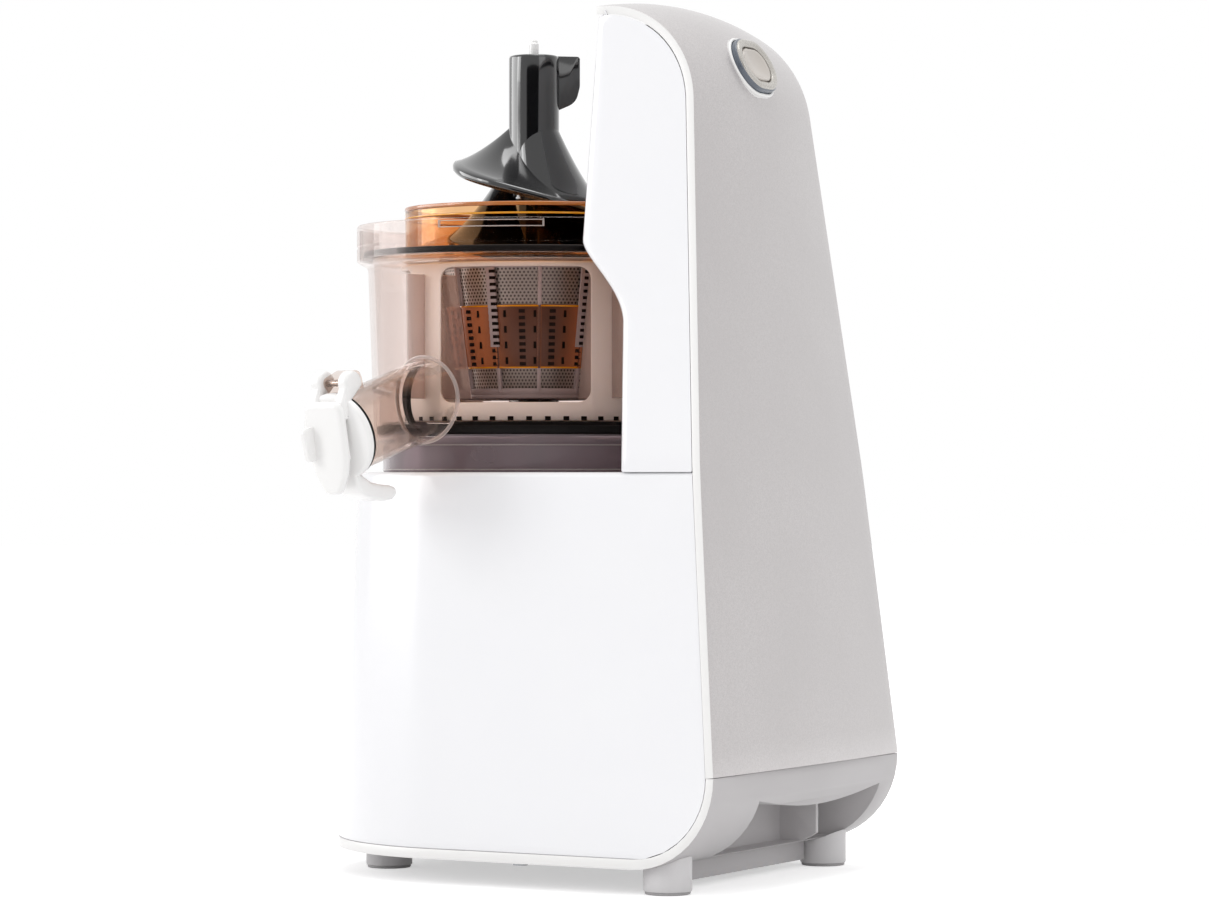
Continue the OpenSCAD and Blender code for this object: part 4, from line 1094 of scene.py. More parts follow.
@dataclass
class Drum:
    """Smoke-tinted juice drum with its spout, pulp chute, seals and lock mark. Sizes are in millimetres."""

    radius: float = 82.5
    inner: float = 79.5
    inner_foot: float = 76.5
    deck_z: float = 197.0
    floor_z: float = 215.0
    floor: float = 3.0
    foot_r: float = 75.0
    flange_r: float = 88.0
    flange_z: Pair = (301.0, 319.0)
    ledge_z: float = 300.0
    shaft: float = 6.08
    spout_turn: float = -102.0
    spout_fall: float = 17.0
    spout_r: float = 19.0
    spout_z: float = 215.0
    reach: float = 136.0
    bore_wall: float = 2.4
    chute_r: float = 15.0
    chute_reach: float = 122.0
    chute_z: float = 236.0
    boss_w: float = 11.0
    hinge_h: float = 24.5
    hinge_x: float = -2.0

    def mouth(self, x: float, y: float, z: float) -> Vector:
        """Gives a frame point for a point of the spout's mouth: x out along it, y across, z over its axis."""
        turn, fall = math.radians(self.spout_turn), math.radians(self.spout_fall)
        out, up = x * math.cos(fall) + z * math.sin(fall), z * math.cos(fall) - x * math.sin(fall)
        away = self.reach + out
        return at(away * math.cos(turn) - y * math.sin(turn), away * math.sin(turn) + y * math.cos(turn),
                  self.spout_z + up)

    def rod(self, name: str, spot: Spot, run: Pair, r: float, soft: float = 0.0, steps: int = 72) -> Object:
        """Builds a round rod along the first axis of a local frame, its far rim softened."""
        rows = [(run[0], r), (run[1] - soft, r)]
        if soft > 0:
            rows += rounding(run[1] - soft, r - soft, soft, angles(30, 60, 90))
        return stack(name, spot, rows, steps)

    def chute_spot(self, x: float, y: float, z: float) -> Vector:
        """Gives a frame point for a point of the chute: x along it, y across, z over its axis."""
        return at(-y, x, self.chute_z + z)

    def shell(self) -> Object:
        """Turns the drum's wall: foot ring, floor, leaning wall, stepped flange with its groove, and hub."""
        low, high = self.flange_z
        rim = self.flange_r - 3
        floor_top = self.floor_z + self.floor
        outline = [(self.shaft, self.floor_z), (self.foot_r - 3, self.floor_z - 2),
                   (self.foot_r - 3, self.deck_z + 0.02), (self.foot_r, self.deck_z + 0.02),
                   (self.foot_r, self.floor_z - 4), (self.radius - 3, self.floor_z), (self.radius, low - 3),
                   (self.flange_r, low), (self.flange_r, low + 6.2), (self.flange_r - 0.7, low + 6.9),
                   (self.flange_r, low + 7.6), (self.flange_r, high), (rim, high), (rim, self.ledge_z + 2.5),
                   (self.inner + 1, self.ledge_z + 2.5), (self.inner + 1, self.ledge_z),
                   (self.inner, self.ledge_z), (self.inner_foot, floor_top), (10.0, floor_top),
                   (10.0, floor_top + 2.5), (self.shaft, floor_top + 2.5)]
        radii = [0, 2, 0.4, 0.6, 2, 4, 3, 1.6, 0.4, 0.4, 0.4,
                 1.2, 1.0, 0.8, 0.5, 0.4, 0.4, 2.5, 0.8, 0.5, 0.4]
        return revolve("drum_clear", fillet(outline, radii, 4), 160)

    def pipes(self) -> Object:
        """Builds the spout and the chute up to the inner face of the wall."""
        start = self.radius - 10 - self.reach
        both = self.rod("pipe", self.mouth, (start, 0.0), self.spout_r, 0.7)
        cut(both, self.rod("chute", self.chute_spot, (self.inner_foot - 10, self.chute_reach), self.chute_r,
                           0.7), "UNION")
        inside = revolve("inside", [(0, self.deck_z - 10), (self.inner_foot + 1.2, self.deck_z - 10),
                                    (self.inner + 0.8, self.ledge_z), (0, self.ledge_z)], 96)
        cut(both, inside)
        return both

    def boss(self) -> Object:
        """Builds the clear hinge lug over the spout's mouth."""
        half = self.boss_w / 2
        side = [(-14.0, self.spout_r - 2), (-14.0, self.hinge_h - 0.5)]
        side += [(-9.5 - 4.5 * math.cos(a), self.hinge_h - 0.2 + 4.2 * math.sin(a))
                 for a in angles(*range(30, 91, 15))]
        side += rounding(self.hinge_x, self.hinge_h, 3, angles(*range(0, 150, 15)))
        side.append((-2.5, self.spout_r - 2))
        lug = loft("lug", [[self.mouth(x, y, z) for x, z in side] for y in (-half, half)])
        cut(lug, self.rod("pin_hole", lambda x, y, z: self.mouth(self.hinge_x + y, x, self.hinge_h + z),
                          (-half - 3, half + 3), 1.68, steps=32))
        return lug

    def body(self) -> Object:
        """Builds the clear drum as one closed piece, its foot in the darker smoke."""
        skin = self.shell()
        for part in (self.pipes(), self.boss()):
            cut(skin, part, "UNION")
        start = self.radius - 16 - self.reach
        cut(skin, self.rod("spout_bore", self.mouth, (start, 5.0), self.spout_r - self.bore_wall))
        cut(skin, self.rod("chute_bore", self.chute_spot, (self.inner_foot - 12, self.chute_reach + 5),
                           self.chute_r - self.bore_wall))
        foot = AXIS.z + (self.floor_z + 0.5) * MM

        def choose(face: MeshPolygon) -> int:
            """Picks the smoky finish under the drum's floor and the pipe's finish outside its wall."""
            out = math.hypot(face.center.x - AXIS.x, face.center.y - AXIS.y)
            if out > (self.radius + 1.5) * MM and face.center.z < AXIS.z + 270 * MM:
                return 2
            return 1 if face.center.z < foot and out < (self.radius - 2) * MM else 0

        finishes = [Finishes.SMOKE, Finishes.SMOKE_FOOT, Finishes.SMOKE_PIPE]
        return settle(skin, "housing", finishes, ["drum", "juice_spout", "pulp_chute"],
                      sharp=28, choose=choose)

    def trim(self) -> None:
        """Adds the raised lines that the mould leaves: spout collar, flange slot, lugs and inner lines."""
        parts = [self.arc_rib("flange_slot", (-92, -57.4), self.flange_r, (low, low + 0.5), 0.55)
                 for low in (self.flange_z[1] - 4.6, self.flange_z[1] - 1.6)]
        ends = (self.flange_z[1] - 4.6, self.flange_z[1] - 0.9)
        parts += [self.arc_rib("slot_end", (a, a + 0.6), self.flange_r, ends, 0.8) for a in (-92.0, -58.0)]
        tall = (self.flange_z[0] + 1, self.flange_z[1] - 1.2)
        parts += [self.arc_rib("lug", (turn, turn + 17), self.flange_r, tall, 0.9)
                  for turn in (183.0, 13.0, 63.0)]
        parts += [revolve("foot_line", [(self.foot_r - 0.3, z), (self.foot_r + 0.35, z + 0.15),
                                        (self.foot_r + 0.35, z + 0.6), (self.foot_r - 0.3, z + 0.75)], 144)
                  for z in (self.deck_z + 0.9, self.floor_z - 5.2)]
        # The mould lines and the spout collar carry painted highlight in their pale finish.
        settle(join("drum_mould_lines", parts), "housing", Finishes.SMOKE_RIM_HIGHLIGHT, sharp=50)
        settle(self.spout_ring(), "housing", Finishes.SMOKE_RIM_HIGHLIGHT, sharp=50)
        base = fillet([(self.foot_r - 1, self.floor_z + 0.2), (self.inner_foot + 1.4, self.floor_z + 0.4),
                       (self.inner_foot + 1.8, self.floor_z + 4.6),
                       (self.inner_foot + 0.4, self.floor_z + 4.6), (self.foot_r - 1, self.floor_z + 2.6)],
                      [0.3] * 5, 2)
        settle(revolve("drum_foot_seal", base, 144), "housing", Finishes.SEAL)
        settle(self.root_seal(), "housing", Finishes.SEAL)
        ring = fillet([(self.flange_r - 6.5, self.ledge_z + 2.8), (self.flange_r - 3.2, self.ledge_z + 2.8),
                       (self.flange_r - 3.2, self.ledge_z + 6.0), (self.flange_r - 6.5, self.ledge_z + 6.0)],
                      [0.4, 0.6, 1.4, 1.0], 3)
        settle(revolve("lid_seal_ring", ring, 144), "housing", Finishes.SEAL, ["lid_seal"])

    def arc_rib(self, name: str, turns: Pair, r: float, span: Pair, proud: float) -> Object:
        """Builds a low rib that follows the wall over a range of turns."""
        count = max(2, int(abs(turns[1] - turns[0]) / 2))
        section = ((r - 0.3, span[0]), (r + proud - 0.3, span[0] + 0.2), (r + proud - 0.3, span[1] - 0.2),
                   (r - 0.3, span[1]))
        rings = []
        for a in angles(*even(*turns, count)):
            rings.append([polar(q, a, z) for q, z in section])
        return loft(name, rings)

    def spout_ring(self) -> Object:
        """Builds the rounded collar where the spout leaves the wall."""
        rings = []
        grown = self.spout_r + 0.9
        for a in circle(96):
            y, z = math.cos(a), math.sin(a)
            x = self.meet(grown * y, grown * z)
            ring = []
            for b in circle(8):
                r = grown + math.cos(b)
                ring.append(self.mouth(x + 0.4 + math.sin(b), r * y, r * z))
            rings.append(ring)
        return loft("spout_collar", rings, True, True)

    def root_seal(self) -> Object:
        """Builds the half-round seal in the root of the spout's bore, thin at both ends."""
        rings = []
        bore = self.spout_r - self.bore_wall - 0.05
        for i, a in enumerate(angles(*even(96, 258, 32))):
            y, z = math.cos(a), math.sin(a)
            deep = 0.4 + 3.2 * math.sin(math.pi * i / 32) ** 0.7
            x = self.meet(bore * y, bore * z) - 1.5
            section = ((-1.2, bore), (-1.2, bore - deep), (1.2, bore - deep * 0.8), (1.2, bore))
            rings.append([self.mouth(x + d, r * y, r * z) for d, r in section])
        return loft("spout_root_seal", rings)

    def meet(self, y: float, z: float) -> float:
        """Finds where a line along the spout, y across and z over its axis, meets the drum's wall."""
        x = -20.0
        for _ in range(12):
            spot = self.mouth(x, y, z) - AXIS
            height = spot.z / MM
            share = min(1.0, max(0.0, (height - self.floor_z) / (self.flange_z[0] - 3 - self.floor_z)))
            goal = mix(self.radius - 3, self.radius, share)
            x -= math.hypot(spot.x, spot.y) / MM - goal
        return x

    def build(self) -> None:
        """Builds the clear drum and what is fixed to it."""
        self.body()
        self.trim()
        soft_copy("drum_gasket", "drum_gasket_ring", 0.5, "housing", Finishes.SEAL)
        soft_copy("lock_mark", "lock_mark_dot", 0.1, "housing", Finishes.RED)


@dataclass
class Brush:
    """Cream cage that turns round the strainer, with its wipers."""

    radius: float = 66.0
    wall: float = 2.4
    heights: Pair = (221.8, 299.0)
    window: Pair = (230.8, 296.5)
    post: float = 22.0
    turn: float = -70.0
    corner: float = 6.0
    notches: int = 46
    notch_z: float = 223.0

    def cage(self) -> Object:
        """Builds the cage with four round-cornered windows."""
        low, high = self.heights
        inner = self.radius - self.wall
        skin = revolve("brush_cage_skin", fillet([(inner, low), (self.radius, low), (self.radius, high),
                                                  (inner, high)], [0.4, 0.6, 0.9, 0.6], 3), 144)
        half = math.sin(math.radians((90 - self.post) / 2)) * self.radius
        z0, z1 = self.window
        outline = fillet([(-half, z0), (half, z0), (half, z1), (-half, z1)], [self.corner] * 4, 6)
        for k in range(4):
            middle = math.radians(self.turn + 90 * k)
            c, n = math.cos(middle), math.sin(middle)
            cut(skin, loft("window", [[at(r * c - u * n, r * n + u * c, z) for u, z in outline]
                                      for r in (20.0, self.radius + 6)]))
        soften(skin, 0.4, 2, 50.0)
        return settle(skin, "brush", Finishes.CREAM, ["brush_cage"])

    def build(self) -> None:
        """Builds the cage, its toothed foot and its wipers."""
        self.cage()
        # The foot's notches are dark blocks of painted shade.
        WallSlots(self.notches, 1, (self.radius + 0.05,) * 2, (self.notch_z,) * 2, (0.6, 2.8, 2.0)).build(
            "brush_foot_notches", "brush", "brush_cream", Finishes.SLOT_SHADE)
        soft_copy("brush_wipers", "brush_wiper_blades", 0.4, "brush", Finishes.WIPER)
        soft_copy("brush_pinion", "brush_pinion_gear", 0.15, "brush_idler", Finishes.ACETAL)


@dataclass
class Strainer:
    """Perforated cone in its frame with the amber band, and the amber collar over it."""

    foot: Pair = (37.0, 233.0)
    top: Pair = (47.0, 300.0)
    wall: float = 1.6
    sheet: float = 0.8
    band: Pair = (0.22, 0.68)
    ribs: int = 12
    rib_turn: float = -57.0
    rim_z: float = 326.3

    def out(self, z: float) -> float:
        """Gives the outer radius at a height."""
        return mix(self.foot[0], self.top[0], (z - self.foot[1]) / (self.top[1] - self.foot[1]))

    def band_heights(self) -> Pair:
        """Gives the heights of the band's two edges."""
        return mix(self.foot[1], self.top[1], self.band[0]), mix(self.foot[1], self.top[1], self.band[1])

    def perforated(self) -> Object:
        """Builds the steel sheet with its own map in millimetres."""
        steps, rows = 120, 8
        bm = bmesh.new()
        flat = bm.loops.layers.uv.new("sheet")
        z0, z1 = self.foot[1] + 2, self.top[1]
        section = [(self.out(mix(z0, z1, k / rows)) - self.wall, mix(z0, z1, k / rows))
                   for k in range(rows + 1)]
        section += [(r - self.sheet, z) for r, z in reversed(section)]
        grid = [[bm.verts.new(polar(r, a, z)) for r, z in section] for a in circle(steps)]
        mean = self.out((z0 + z1) / 2)
        for i in range(steps):
            for k in range(len(section)):
                m = (k + 1) % len(section)
                face = bm.faces.new((grid[i][k], grid[(i + 1) % steps][k], grid[(i + 1) % steps][m],
                                     grid[i][m]))
                for loop, (u, v) in zip(face.loops, ((i, k), (i + 1, k), (i + 1, m), (i, m))):
                    loop[flat].uv = (2 * math.pi * mean * u / steps, section[v][1])
        bmesh.ops.recalc_face_normals(bm, faces=bm.faces)
        return settle(from_bmesh("strainer_sheet", bm), "housing", Finishes.MESH,
                      ["strainer_mesh"])

    def frame(self) -> Object:
        """Builds the frame, pale but for its amber band: foot ring, band, top ring and upright ribs."""
        z0, z1 = self.foot[1], self.top[1]
        low, high = self.band_heights()

        def hoop(name: str, a: float, b: float) -> Object:
            """Turns a ring of the cone's wall between two heights."""
            rows = [(self.out(a), a), (self.out(b), b), (self.out(b) - self.wall, b),
                    (self.out(a) - self.wall, a)]
            return revolve(name, fillet(rows, [0.4] * 4, 2), 120)

        parts = [hoop("band", low, high), hoop("rim", z1 - 3, z1), hoop("toe", z0 + 1.9, z0 + 5)]
        parts.append(revolve("foot", fillet([(15.5, z0), (self.foot[0], z0), (self.out(z0 + 2), z0 + 2),
                                             (15.5, z0 + 2)], [0, 0.6, 0.3, 0], 2), 96))
        section = ((-1.8, -1), (0.2, -1), (0.4, -0.6), (0.4, 0.6), (0.2, 1), (-1.8, 1))
        for k in range(self.ribs):
            a = math.radians(self.rib_turn + 360 / self.ribs * k)
            side = Vector((-math.sin(a), math.cos(a), 0)) * 0.9 * MM
            rings = []
            for z in (z0 + 3, low, high, z1 - 1):
                rings.append([polar(self.out(z) + d, a, z) + side * w for d, w in section])
            parts.append(loft("rib", rings))
        span = (AXIS.z + (low - 0.1) * MM, AXIS.z + (high + 0.1) * MM)

        def choose(face: MeshPolygon) -> int:
            """Picks the pale finish for the frame's parts over and under the band."""
            return 0 if span[0] < face.center.z < span[1] and abs(face.normal.z) < 0.9 else 1

        return settle(join("strainer_frame_moulded", parts), "housing",
                      [Finishes.BAND, Finishes.COMB_PALE], ["strainer_frame"], choose=choose)

    def combs(self) -> None:
        """Adds the slits of the band, the toothed strips between them and the long wiping comb."""
        low, high = self.band_heights()

        def slots(name: str, grid: tuple[int, int], proud: float, heights: Pair,
                  block: Triple, turn: float, finish: Finish) -> None:
            """Sets columns and rows of blocks on the cone, which they leave by the proud height."""
            WallSlots(*grid, tuple(self.out(z) + proud for z in heights), heights, block, turn).build(
                name, "housing", "amber_plastic", finish)

        # The band's slits are dark blocks of painted shade.
        slots("strainer_band_slits", (18, 4), -0.05, (low + 4, high - 4), (0.5, 1.3, 3.8), -60.0,
              Finishes.SLOT_SHADE)
        slots("strainer_band_combs", (18, 9), 0.02, (low + 2.2, high - 3), (0.6, 3.0, 1.7), -68.5,
              Finishes.COMB)
        edges = [revolve("line", [(self.out(z) - 0.5, z - 0.4), (self.out(z) + 0.35, z - 0.4),
                                  (self.out(z) + 0.35, z + 0.4), (self.out(z) - 0.5, z + 0.4)], 96)
                 for z in (low + 0.4, high - 0.4)]
        # The band's edge lines are painted bright as highlights.
        settle(join("strainer_band_lines", edges), "housing", Finishes.AMBER_HIGHLIGHT)
        tall = (260.0, self.top[1] - 5.0)
        slots("strainer_wiper_combs", (6, 12), 0.25, tall, (1.0, 4.6, 3.6), -88.0, Finishes.COMB_PALE)
        # The gaps of the wiping comb are dark blocks of painted shade.
        slots("strainer_comb_gaps", (6, 12), 0.7, tall, (0.6, 3.2, 1.5), -86.6, Finishes.SLOT_SHADE)

    def build(self) -> None:
        """Builds the sheet, the frame, its slots and the collar."""
        self.perforated()
        self.frame()
        self.combs()
        collar = fillet([(44.6, 300), (80.2, 300), (80.2, 302.5), (64, 302.5), (64, 326), (64.3, 326.6),
                         (64.3, 328), (61.7, 328), (61.7, 326.6), (62, 326), (62, 302.5), (44.6, 302.5)],
                        [0.3, 0.8, 0.8, 1.5, 0.3, 0.3, 0.6, 0.6, 0.3, 0.3, 1.5, 0.3], 4)
        rim = self.rim_z * MM

        def choose(face: MeshPolygon) -> int:
            """Picks the bright finish for the collar's rim."""
            return 1 if face.center.z > rim else 0

        settle(revolve("amber_collar_ring", collar, 144), "housing",
               [Finishes.AMBER, Finishes.AMBER_RIM], ["amber_collar"], choose=choose)
        line = fillet([(63.9, 321.9), (64.4, 322.1), (64.4, 322.7), (63.9, 322.9)], [0, 0.2, 0.2, 0], 2)
        # The collar's raised line is painted bright as a highlight.
        settle(revolve("amber_collar_line", line, 144), "housing", Finishes.AMBER_HIGHLIGHT)


@dataclass
class Auger:
    """Black squeezing screw: hub, lower flights, the big upper flight and the lid's key fin. Millimetres."""

    top: float = 404.0
    hub_top: float = 12.5
    hub_foot: float = 25.0
    hub_turns: Pair = (300.0, 358.0)
    fin_turn: float = 40.0
    flight_foot: float = 237.0
    flight_end: float = 297.0
    neck_z: float = 229.8
    pitch: float = 66.0
    wing_start: float = 165.0
    wing_sweep: float = 320.0
    wing_r: float = 40.0
    flare_turn: float = 90.0
    flare_drop: float = 40.0
    rim: float = 43.4
    edge: float = 4.2

    def hub(self, z: float) -> float:
        """Gives the hub's radius at a height."""
        low, high = self.hub_turns
        if z > high:
            return self.hub_top
        if z > low:
            return mix(self.hub_top + 2, self.hub_top, (z - low) / (high - low))
        return mix(self.hub_foot, self.hub_top + 2, (z - self.flight_foot) / (low - self.flight_foot))

    def flight(self, name: str, steps: int, bend: float, course: Callable[[float], Section]) -> Object:
        """Winds a flight round the hub; its section sweeps out in a hollow curve to a rounded edge.

        Args:
            name: the piece's name.
            steps: sections along the flight.
            bend: how hollow the sweep out of the hub is; 1 is straight.
            course: gives turn in degrees, height, outer radius, edge thickness, rise and fall at the hub.

        Returns:
            The flight, closed at both ends.
        """
        rings = []
        for i in range(steps + 1):
            turn, z, reach, edge, rise, fall = course(i / steps)
            inner = self.hub(z) - 2.5
            upper = [(mix(inner, reach, k / 9), z + edge / 2 + rise * (1 - k / 9) ** bend) for k in range(10)]
            tip = [(reach + edge * 0.22, z + edge * 0.22), (reach + edge * 0.22, z - edge * 0.22)]
            lower = [(mix(reach, inner, k / 9), z - edge / 2 - fall * (k / 9) ** 2.4) for k in range(10)]
            a = math.radians(turn)
            rings.append([polar(r, a, h) for r, h in upper + tip + lower])
        return loft(name, rings)

    def wing(self, t: float) -> Section:
        """Gives the course of the big upper flight."""
        z = self.flight_end + (self.pitch * self.wing_sweep / 360 + 2) * (1 - t)
        grow = math.sqrt(min(1.0, t * 8 + 0.0001))
        reach = mix(self.hub_top, mix(self.wing_r - 1, self.rim - 1, t), grow)
        rise = mix(20, 4, t) * min(1.0, 0.4 + 5 * t)
        return self.wing_start + self.wing_sweep * t, z, reach, self.edge * min(1.0, 0.3 + 5 * t), rise, 4

    def flare(self, t: float) -> Section:
        """Gives the course of the second upper flight, which opens like a trumpet."""
        last = self.wing_start + self.wing_sweep + 180
        turn = mix(self.wing_start + self.flare_turn, last, t)
        z = self.flight_end + self.pitch * (last - turn) / 360 - self.flare_drop * (1 - t) ** 2
        late = max(0.0, t - 0.78) / 0.22
        return (turn, z, mix(self.hub_top, self.rim - 1, min(1.0, 0.06 + 2 * t)),
                self.edge * min(1.0, 0.4 + 4 * t), mix(38, 3, late * late * (3 - 2 * late)), 4)

    def lower(self, start: float, t: float) -> Section:
        """Gives the course of a lower flight inside the strainer."""
        z = mix(self.flight_end, self.flight_foot + 3, t)
        return (start + self.wing_sweep + 360 * (self.flight_end - z) / self.pitch, z,
                mix(self.rim - 1, 34.4, t), 3.4, 3, 3)

    def fin(self) -> Object:
        """Builds the rounded fin that keys the lid."""
        outline = fillet([(0, -30), (12, -27), (21, -23), (23, -15), (23, 0), (0, 0)], [0, 10, 8, 8, 1.4, 0])
        a = math.radians(self.fin_turn)
        along, side = Vector((math.cos(a), math.sin(a), 0)), Vector((-math.sin(a), math.cos(a), 0))
        rings = []
        for w, inset in ((-1.8, 0.7), (-1.3, 0.0), (1.3, 0.0), (1.8, 0.7)):
            rings.append([at(0, 0, self.top + z + (inset if z < -14 else -inset))
                          + (along * (x - inset) + side * w) * MM for x, z in outline])
        return loft("fin", rings)

    def build(self) -> None:
        """Builds the screw, its pinion and its tip."""
        hub = [(6.0, self.neck_z), (self.hub_top, self.neck_z), (self.hub_top, self.flight_foot)]
        hub += [(self.hub(z), z) for z in (237, 250, 265, 280, *range(300, 351, 10), 358, 375, 390, 402.6)]
        hub += [(self.hub_top - 0.4, 403.6), (self.hub_top - 1.4, self.top), (0.0, self.top), (0.0, 263.0),
                (6.0, 263.0)]
        lower = [self.flight("flight", 90, 2.0, partial(self.lower, self.wing_start + a)) for a in (0, 180)]
        screw = join("auger_screw", [revolve("hub", hub, 96), self.flight("wing", 120, 1.45, self.wing),
                                     self.flight("flare", 140, 1.3, self.flare), *lower, self.fin()])
        settle(screw, "drive", Finishes.AUGER, ["auger"], sharp=50)
        soft_copy("auger_pinion", "auger_pinion_gear", 0.15, "drive", Finishes.ACETAL)
        tip = fillet([(0, 404), (2.4, 404), (2.4, 410), (1.8, 410.6), (1.8, 412), (0, 412)],
                     [0, 0, 0.4, 0.2, 0.9, 0], 3)
        settle(revolve("auger_tip", tip, 40), "drive", Finishes.TAP, ["auger_tip_pin"])


@dataclass
class Tap:
    """White tap on the spout: domed cap, ears, thumb shield with its fin, and tongue. Millimetres."""

    drum: Drum
    cap_r: float = 21.0
    cap: Pair = (1.8, 5.8)
    seal_r: float = 20.5
    ear_r: float = 5.8
    ear_gap: float = 11.6
    ear_t: float = 6.0
    shield: Pair = (6.4, 11.5)
    shield_w: float = 24.0
    lean: float = 0.11
    tongue_w: float = 16.0
    fin_y: float = -8.0

    def ear(self, side: int) -> Object:
        """Builds one ear, which hides its end of the pin."""
        pivot = self.drum.hinge_h
        lobe = [(self.drum.hinge_x + self.ear_r * math.cos(a), pivot + self.ear_r * math.sin(a))
                for a in angles(*even(-150, -370, 20))]
        foot = fillet([lobe[-1], (8.6, 17.5), (8.6, 9.0), (1.9, 9.0), (1.9, 16.6), lobe[0]],
                      [0, 6, 1.5, 1, 2.0, 0], 5)
        middle = side * (self.ear_gap + self.ear_t) / 2
        return slab("ear", lobe + foot[1:-1], lambda x, z, w: self.drum.mouth(x, middle + w, z),
                    (-self.ear_t / 2, self.ear_t / 2), 1.6)

    def body(self) -> Object:
        """Builds the cap with its dome, the ears and the tongue."""
        spot, (back, front) = self.drum.mouth, self.cap
        rows = [(back, self.cap_r - 0.5), (back + 0.5, self.cap_r), (front - 1.8, self.cap_r)]
        rows += rounding(front - 1.8, self.cap_r - 1.8, 1.8, angles(20, 40, 60, 78))
        rows += [(front + 0.9 * math.sin(math.radians(90 * k / 4)), mix(self.cap_r - 2, 6, k / 4))
                 for k in range(1, 5)]
        dome = stack("dome", spot, rows, 96)
        edge = [(front, 3), (front, -4), (2.5, -8), (-3, -12), (-10, -15.4), (-16, -16.2), (-19, -14.6),
                (-19.5, -11.6), (-16, -9.2), (-10, -6.9), (-4, -4), (-1, -1), (back, 2)]
        tongue = slab("tongue", fillet([(x, z - self.cap_r) for x, z in edge],
                                       [0, 5, 6, 8, 8, 3, 2, 2, 4, 8, 8, 3, 0], 4),
                      lambda x, z, w: spot(x, w, z), (-self.tongue_w / 2, self.tongue_w / 2), 1.8)
        neck = slab("neck", fillet([(-8, -12), (8, -12), (8, 13), (-8, 13)], [3] * 4, 3),
                    lambda y, z, w: spot(w, y, z), (front - 0.5, self.shield[0] + 4.5), 0.3)
        return join("tap_cap_moulded", [dome, self.ear(-1), self.ear(1), tongue, neck])

    def plate(self) -> Object:
        """Builds the thumb shield, narrow at its foot, with the fin at its left."""
        half, spot = self.shield_w / 2, self.drum.mouth
        outline = fillet([(-half, 18.5), (half, 18.5), (half, -8), (half - 2.5, -17), (half - 7.5, -25.6),
                          (7.5 - half, -25.6), (2.5 - half, -17), (-half, -8)], [5, 5, 10, 8, 4, 4, 8, 10], 6)
        shield = slab("shield", outline, lambda y, z, w: spot(w + self.lean * (18.5 - z), y, z),
                      self.shield, 2.4)
        fin = slab("fin", fillet([(11.0, 7.5), (19.6, 7.5), (19.6, -8.5), (11.0, -8.5)], [0, 2, 2, 0], 4),
                   lambda x, z, w: spot(x, self.fin_y + w, z), (-1.5, 1.5), 0.6)
        return join("tap_thumb_plate_moulded", [shield, fin])

    def build(self) -> None:
        """Builds the tap's pieces and ties them to it."""
        settle(self.body(), "tap", Finishes.TAP, ["tap_cap"], sharp=40)
        settle(self.plate(), "tap", Finishes.TAP, ["tap_thumb_plate"], sharp=40)
        spot, rows = self.drum.mouth, ((0.35, 15.2), (0.35, self.seal_r), (1.75, self.seal_r), (1.75, 15.2))
        seal = loft("spout_gasket_ring", [[spot(x, r * math.cos(a), r * math.sin(a)) for x, r in rows]
                                          for a in circle(96)], True, True)
        settle(seal, "tap", Finishes.SEAL, ["spout_gasket"])
        soft_copy("tap_pin", "tap_hinge_pin", 0.2, "tap", Finishes.STEEL)


# ---------------------------------------------------------------- studio


class Lamp(Enum):
    """Soft lamps round the machine: place, width and height in metres, and power in watts."""

    KEY = ((-2.0, -1.9, 1.35), 0.9, 1.5, 19.0)
    SIDE = ((2.4, -0.9, 1.3), 1.4, 1.4, 8.0)
    TOP = ((0.1, 0.3, 2.6), 1.2, 1.2, 19.0)
    # A long sheen along the left of the dark and clear parts; the pale parts' own shading leaves it out.
    SHEEN = ((-2.5, -0.75, 0.98), 2.4, 1.5, 40.0)


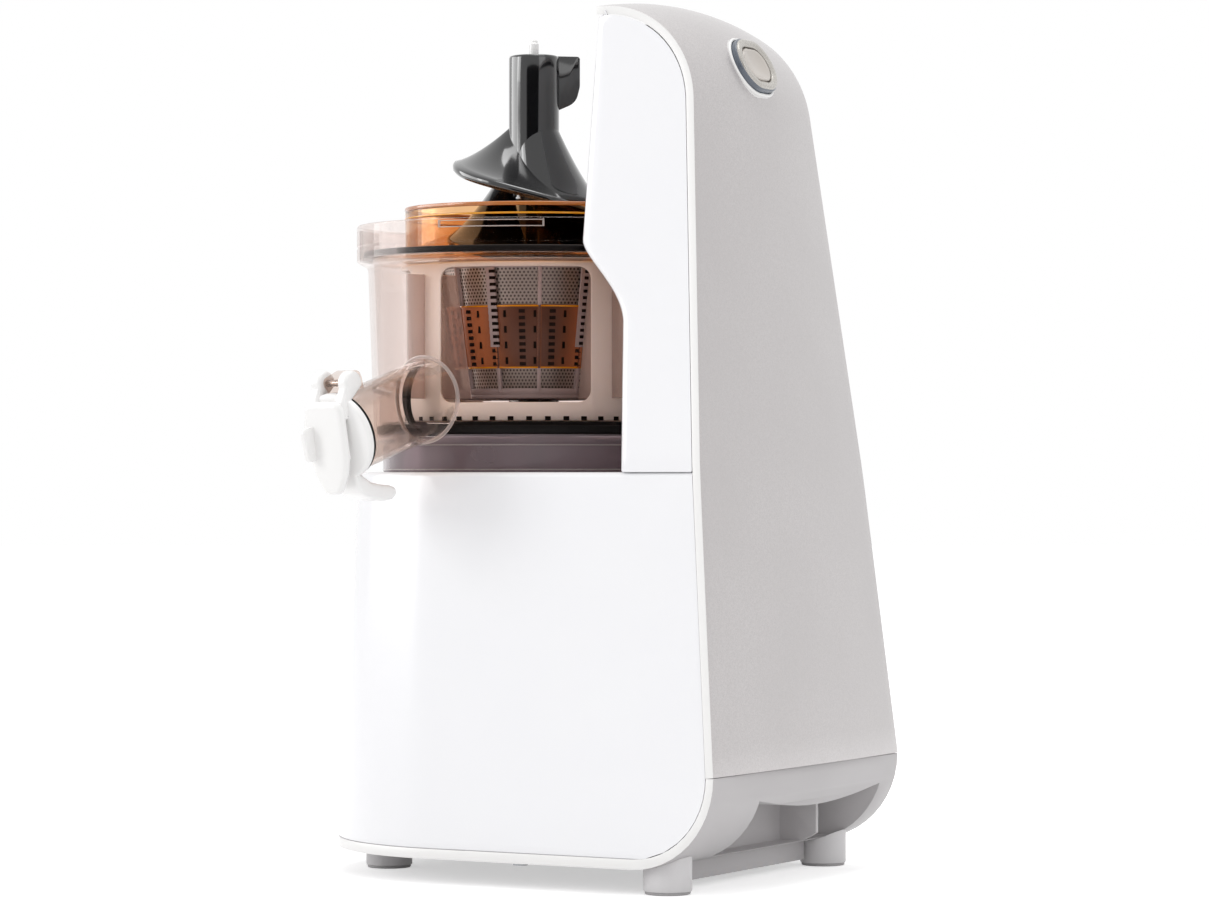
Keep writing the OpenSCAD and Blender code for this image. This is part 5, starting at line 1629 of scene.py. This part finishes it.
@dataclass
class Studio:
    """Pale floor, plain lamps and the camera."""

    eye: Triple = (1.0095, -1.8276, 0.1982)
    heading: Triple = (-0.4769, 0.8790, 0.0)
    focal_px: float = 4249.6
    width_px: int = 1209
    horizon_px: float = 16.1
    ambient: float = 0.75
    floor_glow: float = 0.5
    floor_r: float = 9.0
    target: Triple = (0.0, 0.0, 0.22)
    card_turn: float = -63.0
    card_away: float = 2.7

    def seen(self, tree: NodeTree) -> Node:
        """Gives 1 for rays that show the background itself or its reflection."""
        path = add(tree, "ShaderNodeLightPath").outputs
        first = add(tree, "ShaderNodeMath", {
            0: path["Is Camera Ray"], 1: path["Is Glossy Ray"]}, operation="MAXIMUM")
        return add(tree, "ShaderNodeMath", {0: first, 1: path["Is Transmission Ray"]}, operation="MAXIMUM")

    def floor(self) -> Object:
        """Builds the round floor, pale with the machine's own shadow."""
        rings = [[Vector((self.floor_r * math.cos(a), self.floor_r * math.sin(a), z)) for a in circle(64)]
                 for z in (-0.02, 0.0)]
        obj = loft("studio_floor", rings)
        made = bpy.data.materials.new("pale_floor")
        tree = blank_tree(made)
        matt = add(tree, "ShaderNodeBsdfDiffuse", {"Color": "#ececec"})
        glow = add(tree, "ShaderNodeEmission", {"Color": (1, 1, 1, 1), "Strength": self.floor_glow})
        both = add(tree, "ShaderNodeAddShader", {0: matt, 1: glow})
        shown = add(tree, "ShaderNodeMixShader", {0: self.seen(tree), 1: matt, 2: both})
        add(tree, "ShaderNodeOutputMaterial", {"Surface": shown})
        obj.data.materials.append(made)
        return obj

    def card(self) -> None:
        """Stands a dark card behind the camera, which only the glossy surfaces see."""
        turn = math.radians(self.card_turn)
        middle = Vector((self.card_away * math.cos(turn), self.card_away * math.sin(turn), 0.65))
        across = Vector((-math.sin(turn), math.cos(turn), 0))
        corners = fillet([(-1.7, -0.6), (1.7, -0.6), (1.7, 0.75), (-1.7, 0.75)], [0.2] * 4, 4)
        out = across.cross(Vector((0, 0, 1)))
        obj = slab("studio_card", corners, lambda u, v, w: middle + across * u + Vector((0, 0, v)) - out * w,
                   (0.0, 0.02), 0.005)
        felt = MouldedPlastic("black_felt", "#060606", "#040404", 0.9, 3.0, 0.1)
        obj.data.materials.append(felt.material())
        obj.visible_camera = obj.visible_diffuse = obj.visible_shadow = obj.visible_transmission = False

    def world(self) -> None:
        """Sets the white surroundings."""
        world = bpy.data.worlds.new("studio")
        tree = blank_tree(world)
        level = add(tree, "ShaderNodeMapRange", {
            "Value": self.seen(tree), "To Min": self.ambient, "To Max": 1.0})
        sky = add(tree, "ShaderNodeBackground", {"Color": (1, 1, 1, 1), "Strength": level})
        add(tree, "ShaderNodeOutputWorld", {"Surface": sky})
        bpy.context.scene.world = world

    def lamps(self) -> None:
        """Hangs the soft lamps, each turned to the middle of the machine."""
        for lamp in Lamp:
            place, width, height, power = lamp.value
            data = bpy.data.lights.new(lamp.name.lower(), "AREA")
            data.shape, data.size, data.size_y, data.energy = "RECTANGLE", width, height, power
            obj = bpy.data.objects.new(lamp.name.lower(), data)
            obj.location = place
            obj.rotation_euler = (Vector(self.target) - Vector(place)).to_track_quat("-Z", "Y").to_euler()
            obj.visible_diffuse = lamp is not Lamp.SHEEN
            bpy.context.scene.collection.objects.link(obj)

    def camera(self) -> None:
        """Sets the camera at the eye, level, with the lens that the view asks for."""
        data = bpy.data.cameras.new("camera")
        data.sensor_fit, data.sensor_width = "HORIZONTAL", 36.0
        data.lens = self.focal_px / self.width_px * data.sensor_width
        data.shift_y = self.horizon_px / self.width_px
        data.clip_end = 50.0
        obj = bpy.data.objects.new("camera", data)
        obj.location = self.eye
        obj.rotation_euler = Vector(self.heading).to_track_quat("-Z", "Y").to_euler()
        bpy.context.scene.collection.objects.link(obj)
        bpy.context.scene.camera = obj

    def build(self) -> None:
        """Builds the studio."""
        self.floor()
        self.card()
        self.world()
        self.lamps()
        self.camera()
        bpy.context.scene.view_settings.view_transform = "Standard"


def main() -> None:
    """Builds the machine piece by piece, then the studio."""
    logging.basicConfig(level=logging.INFO, format="%(message)s")
    Studio().build()
    rocker = Rocker()
    Housing().build(rocker.opening)
    rocker.build()
    drum = Drum()
    drum.build()
    Brush().build()
    Strainer().build()
    Auger().build()
    Tap(drum).build()


if __name__ == "__main__":
    main()
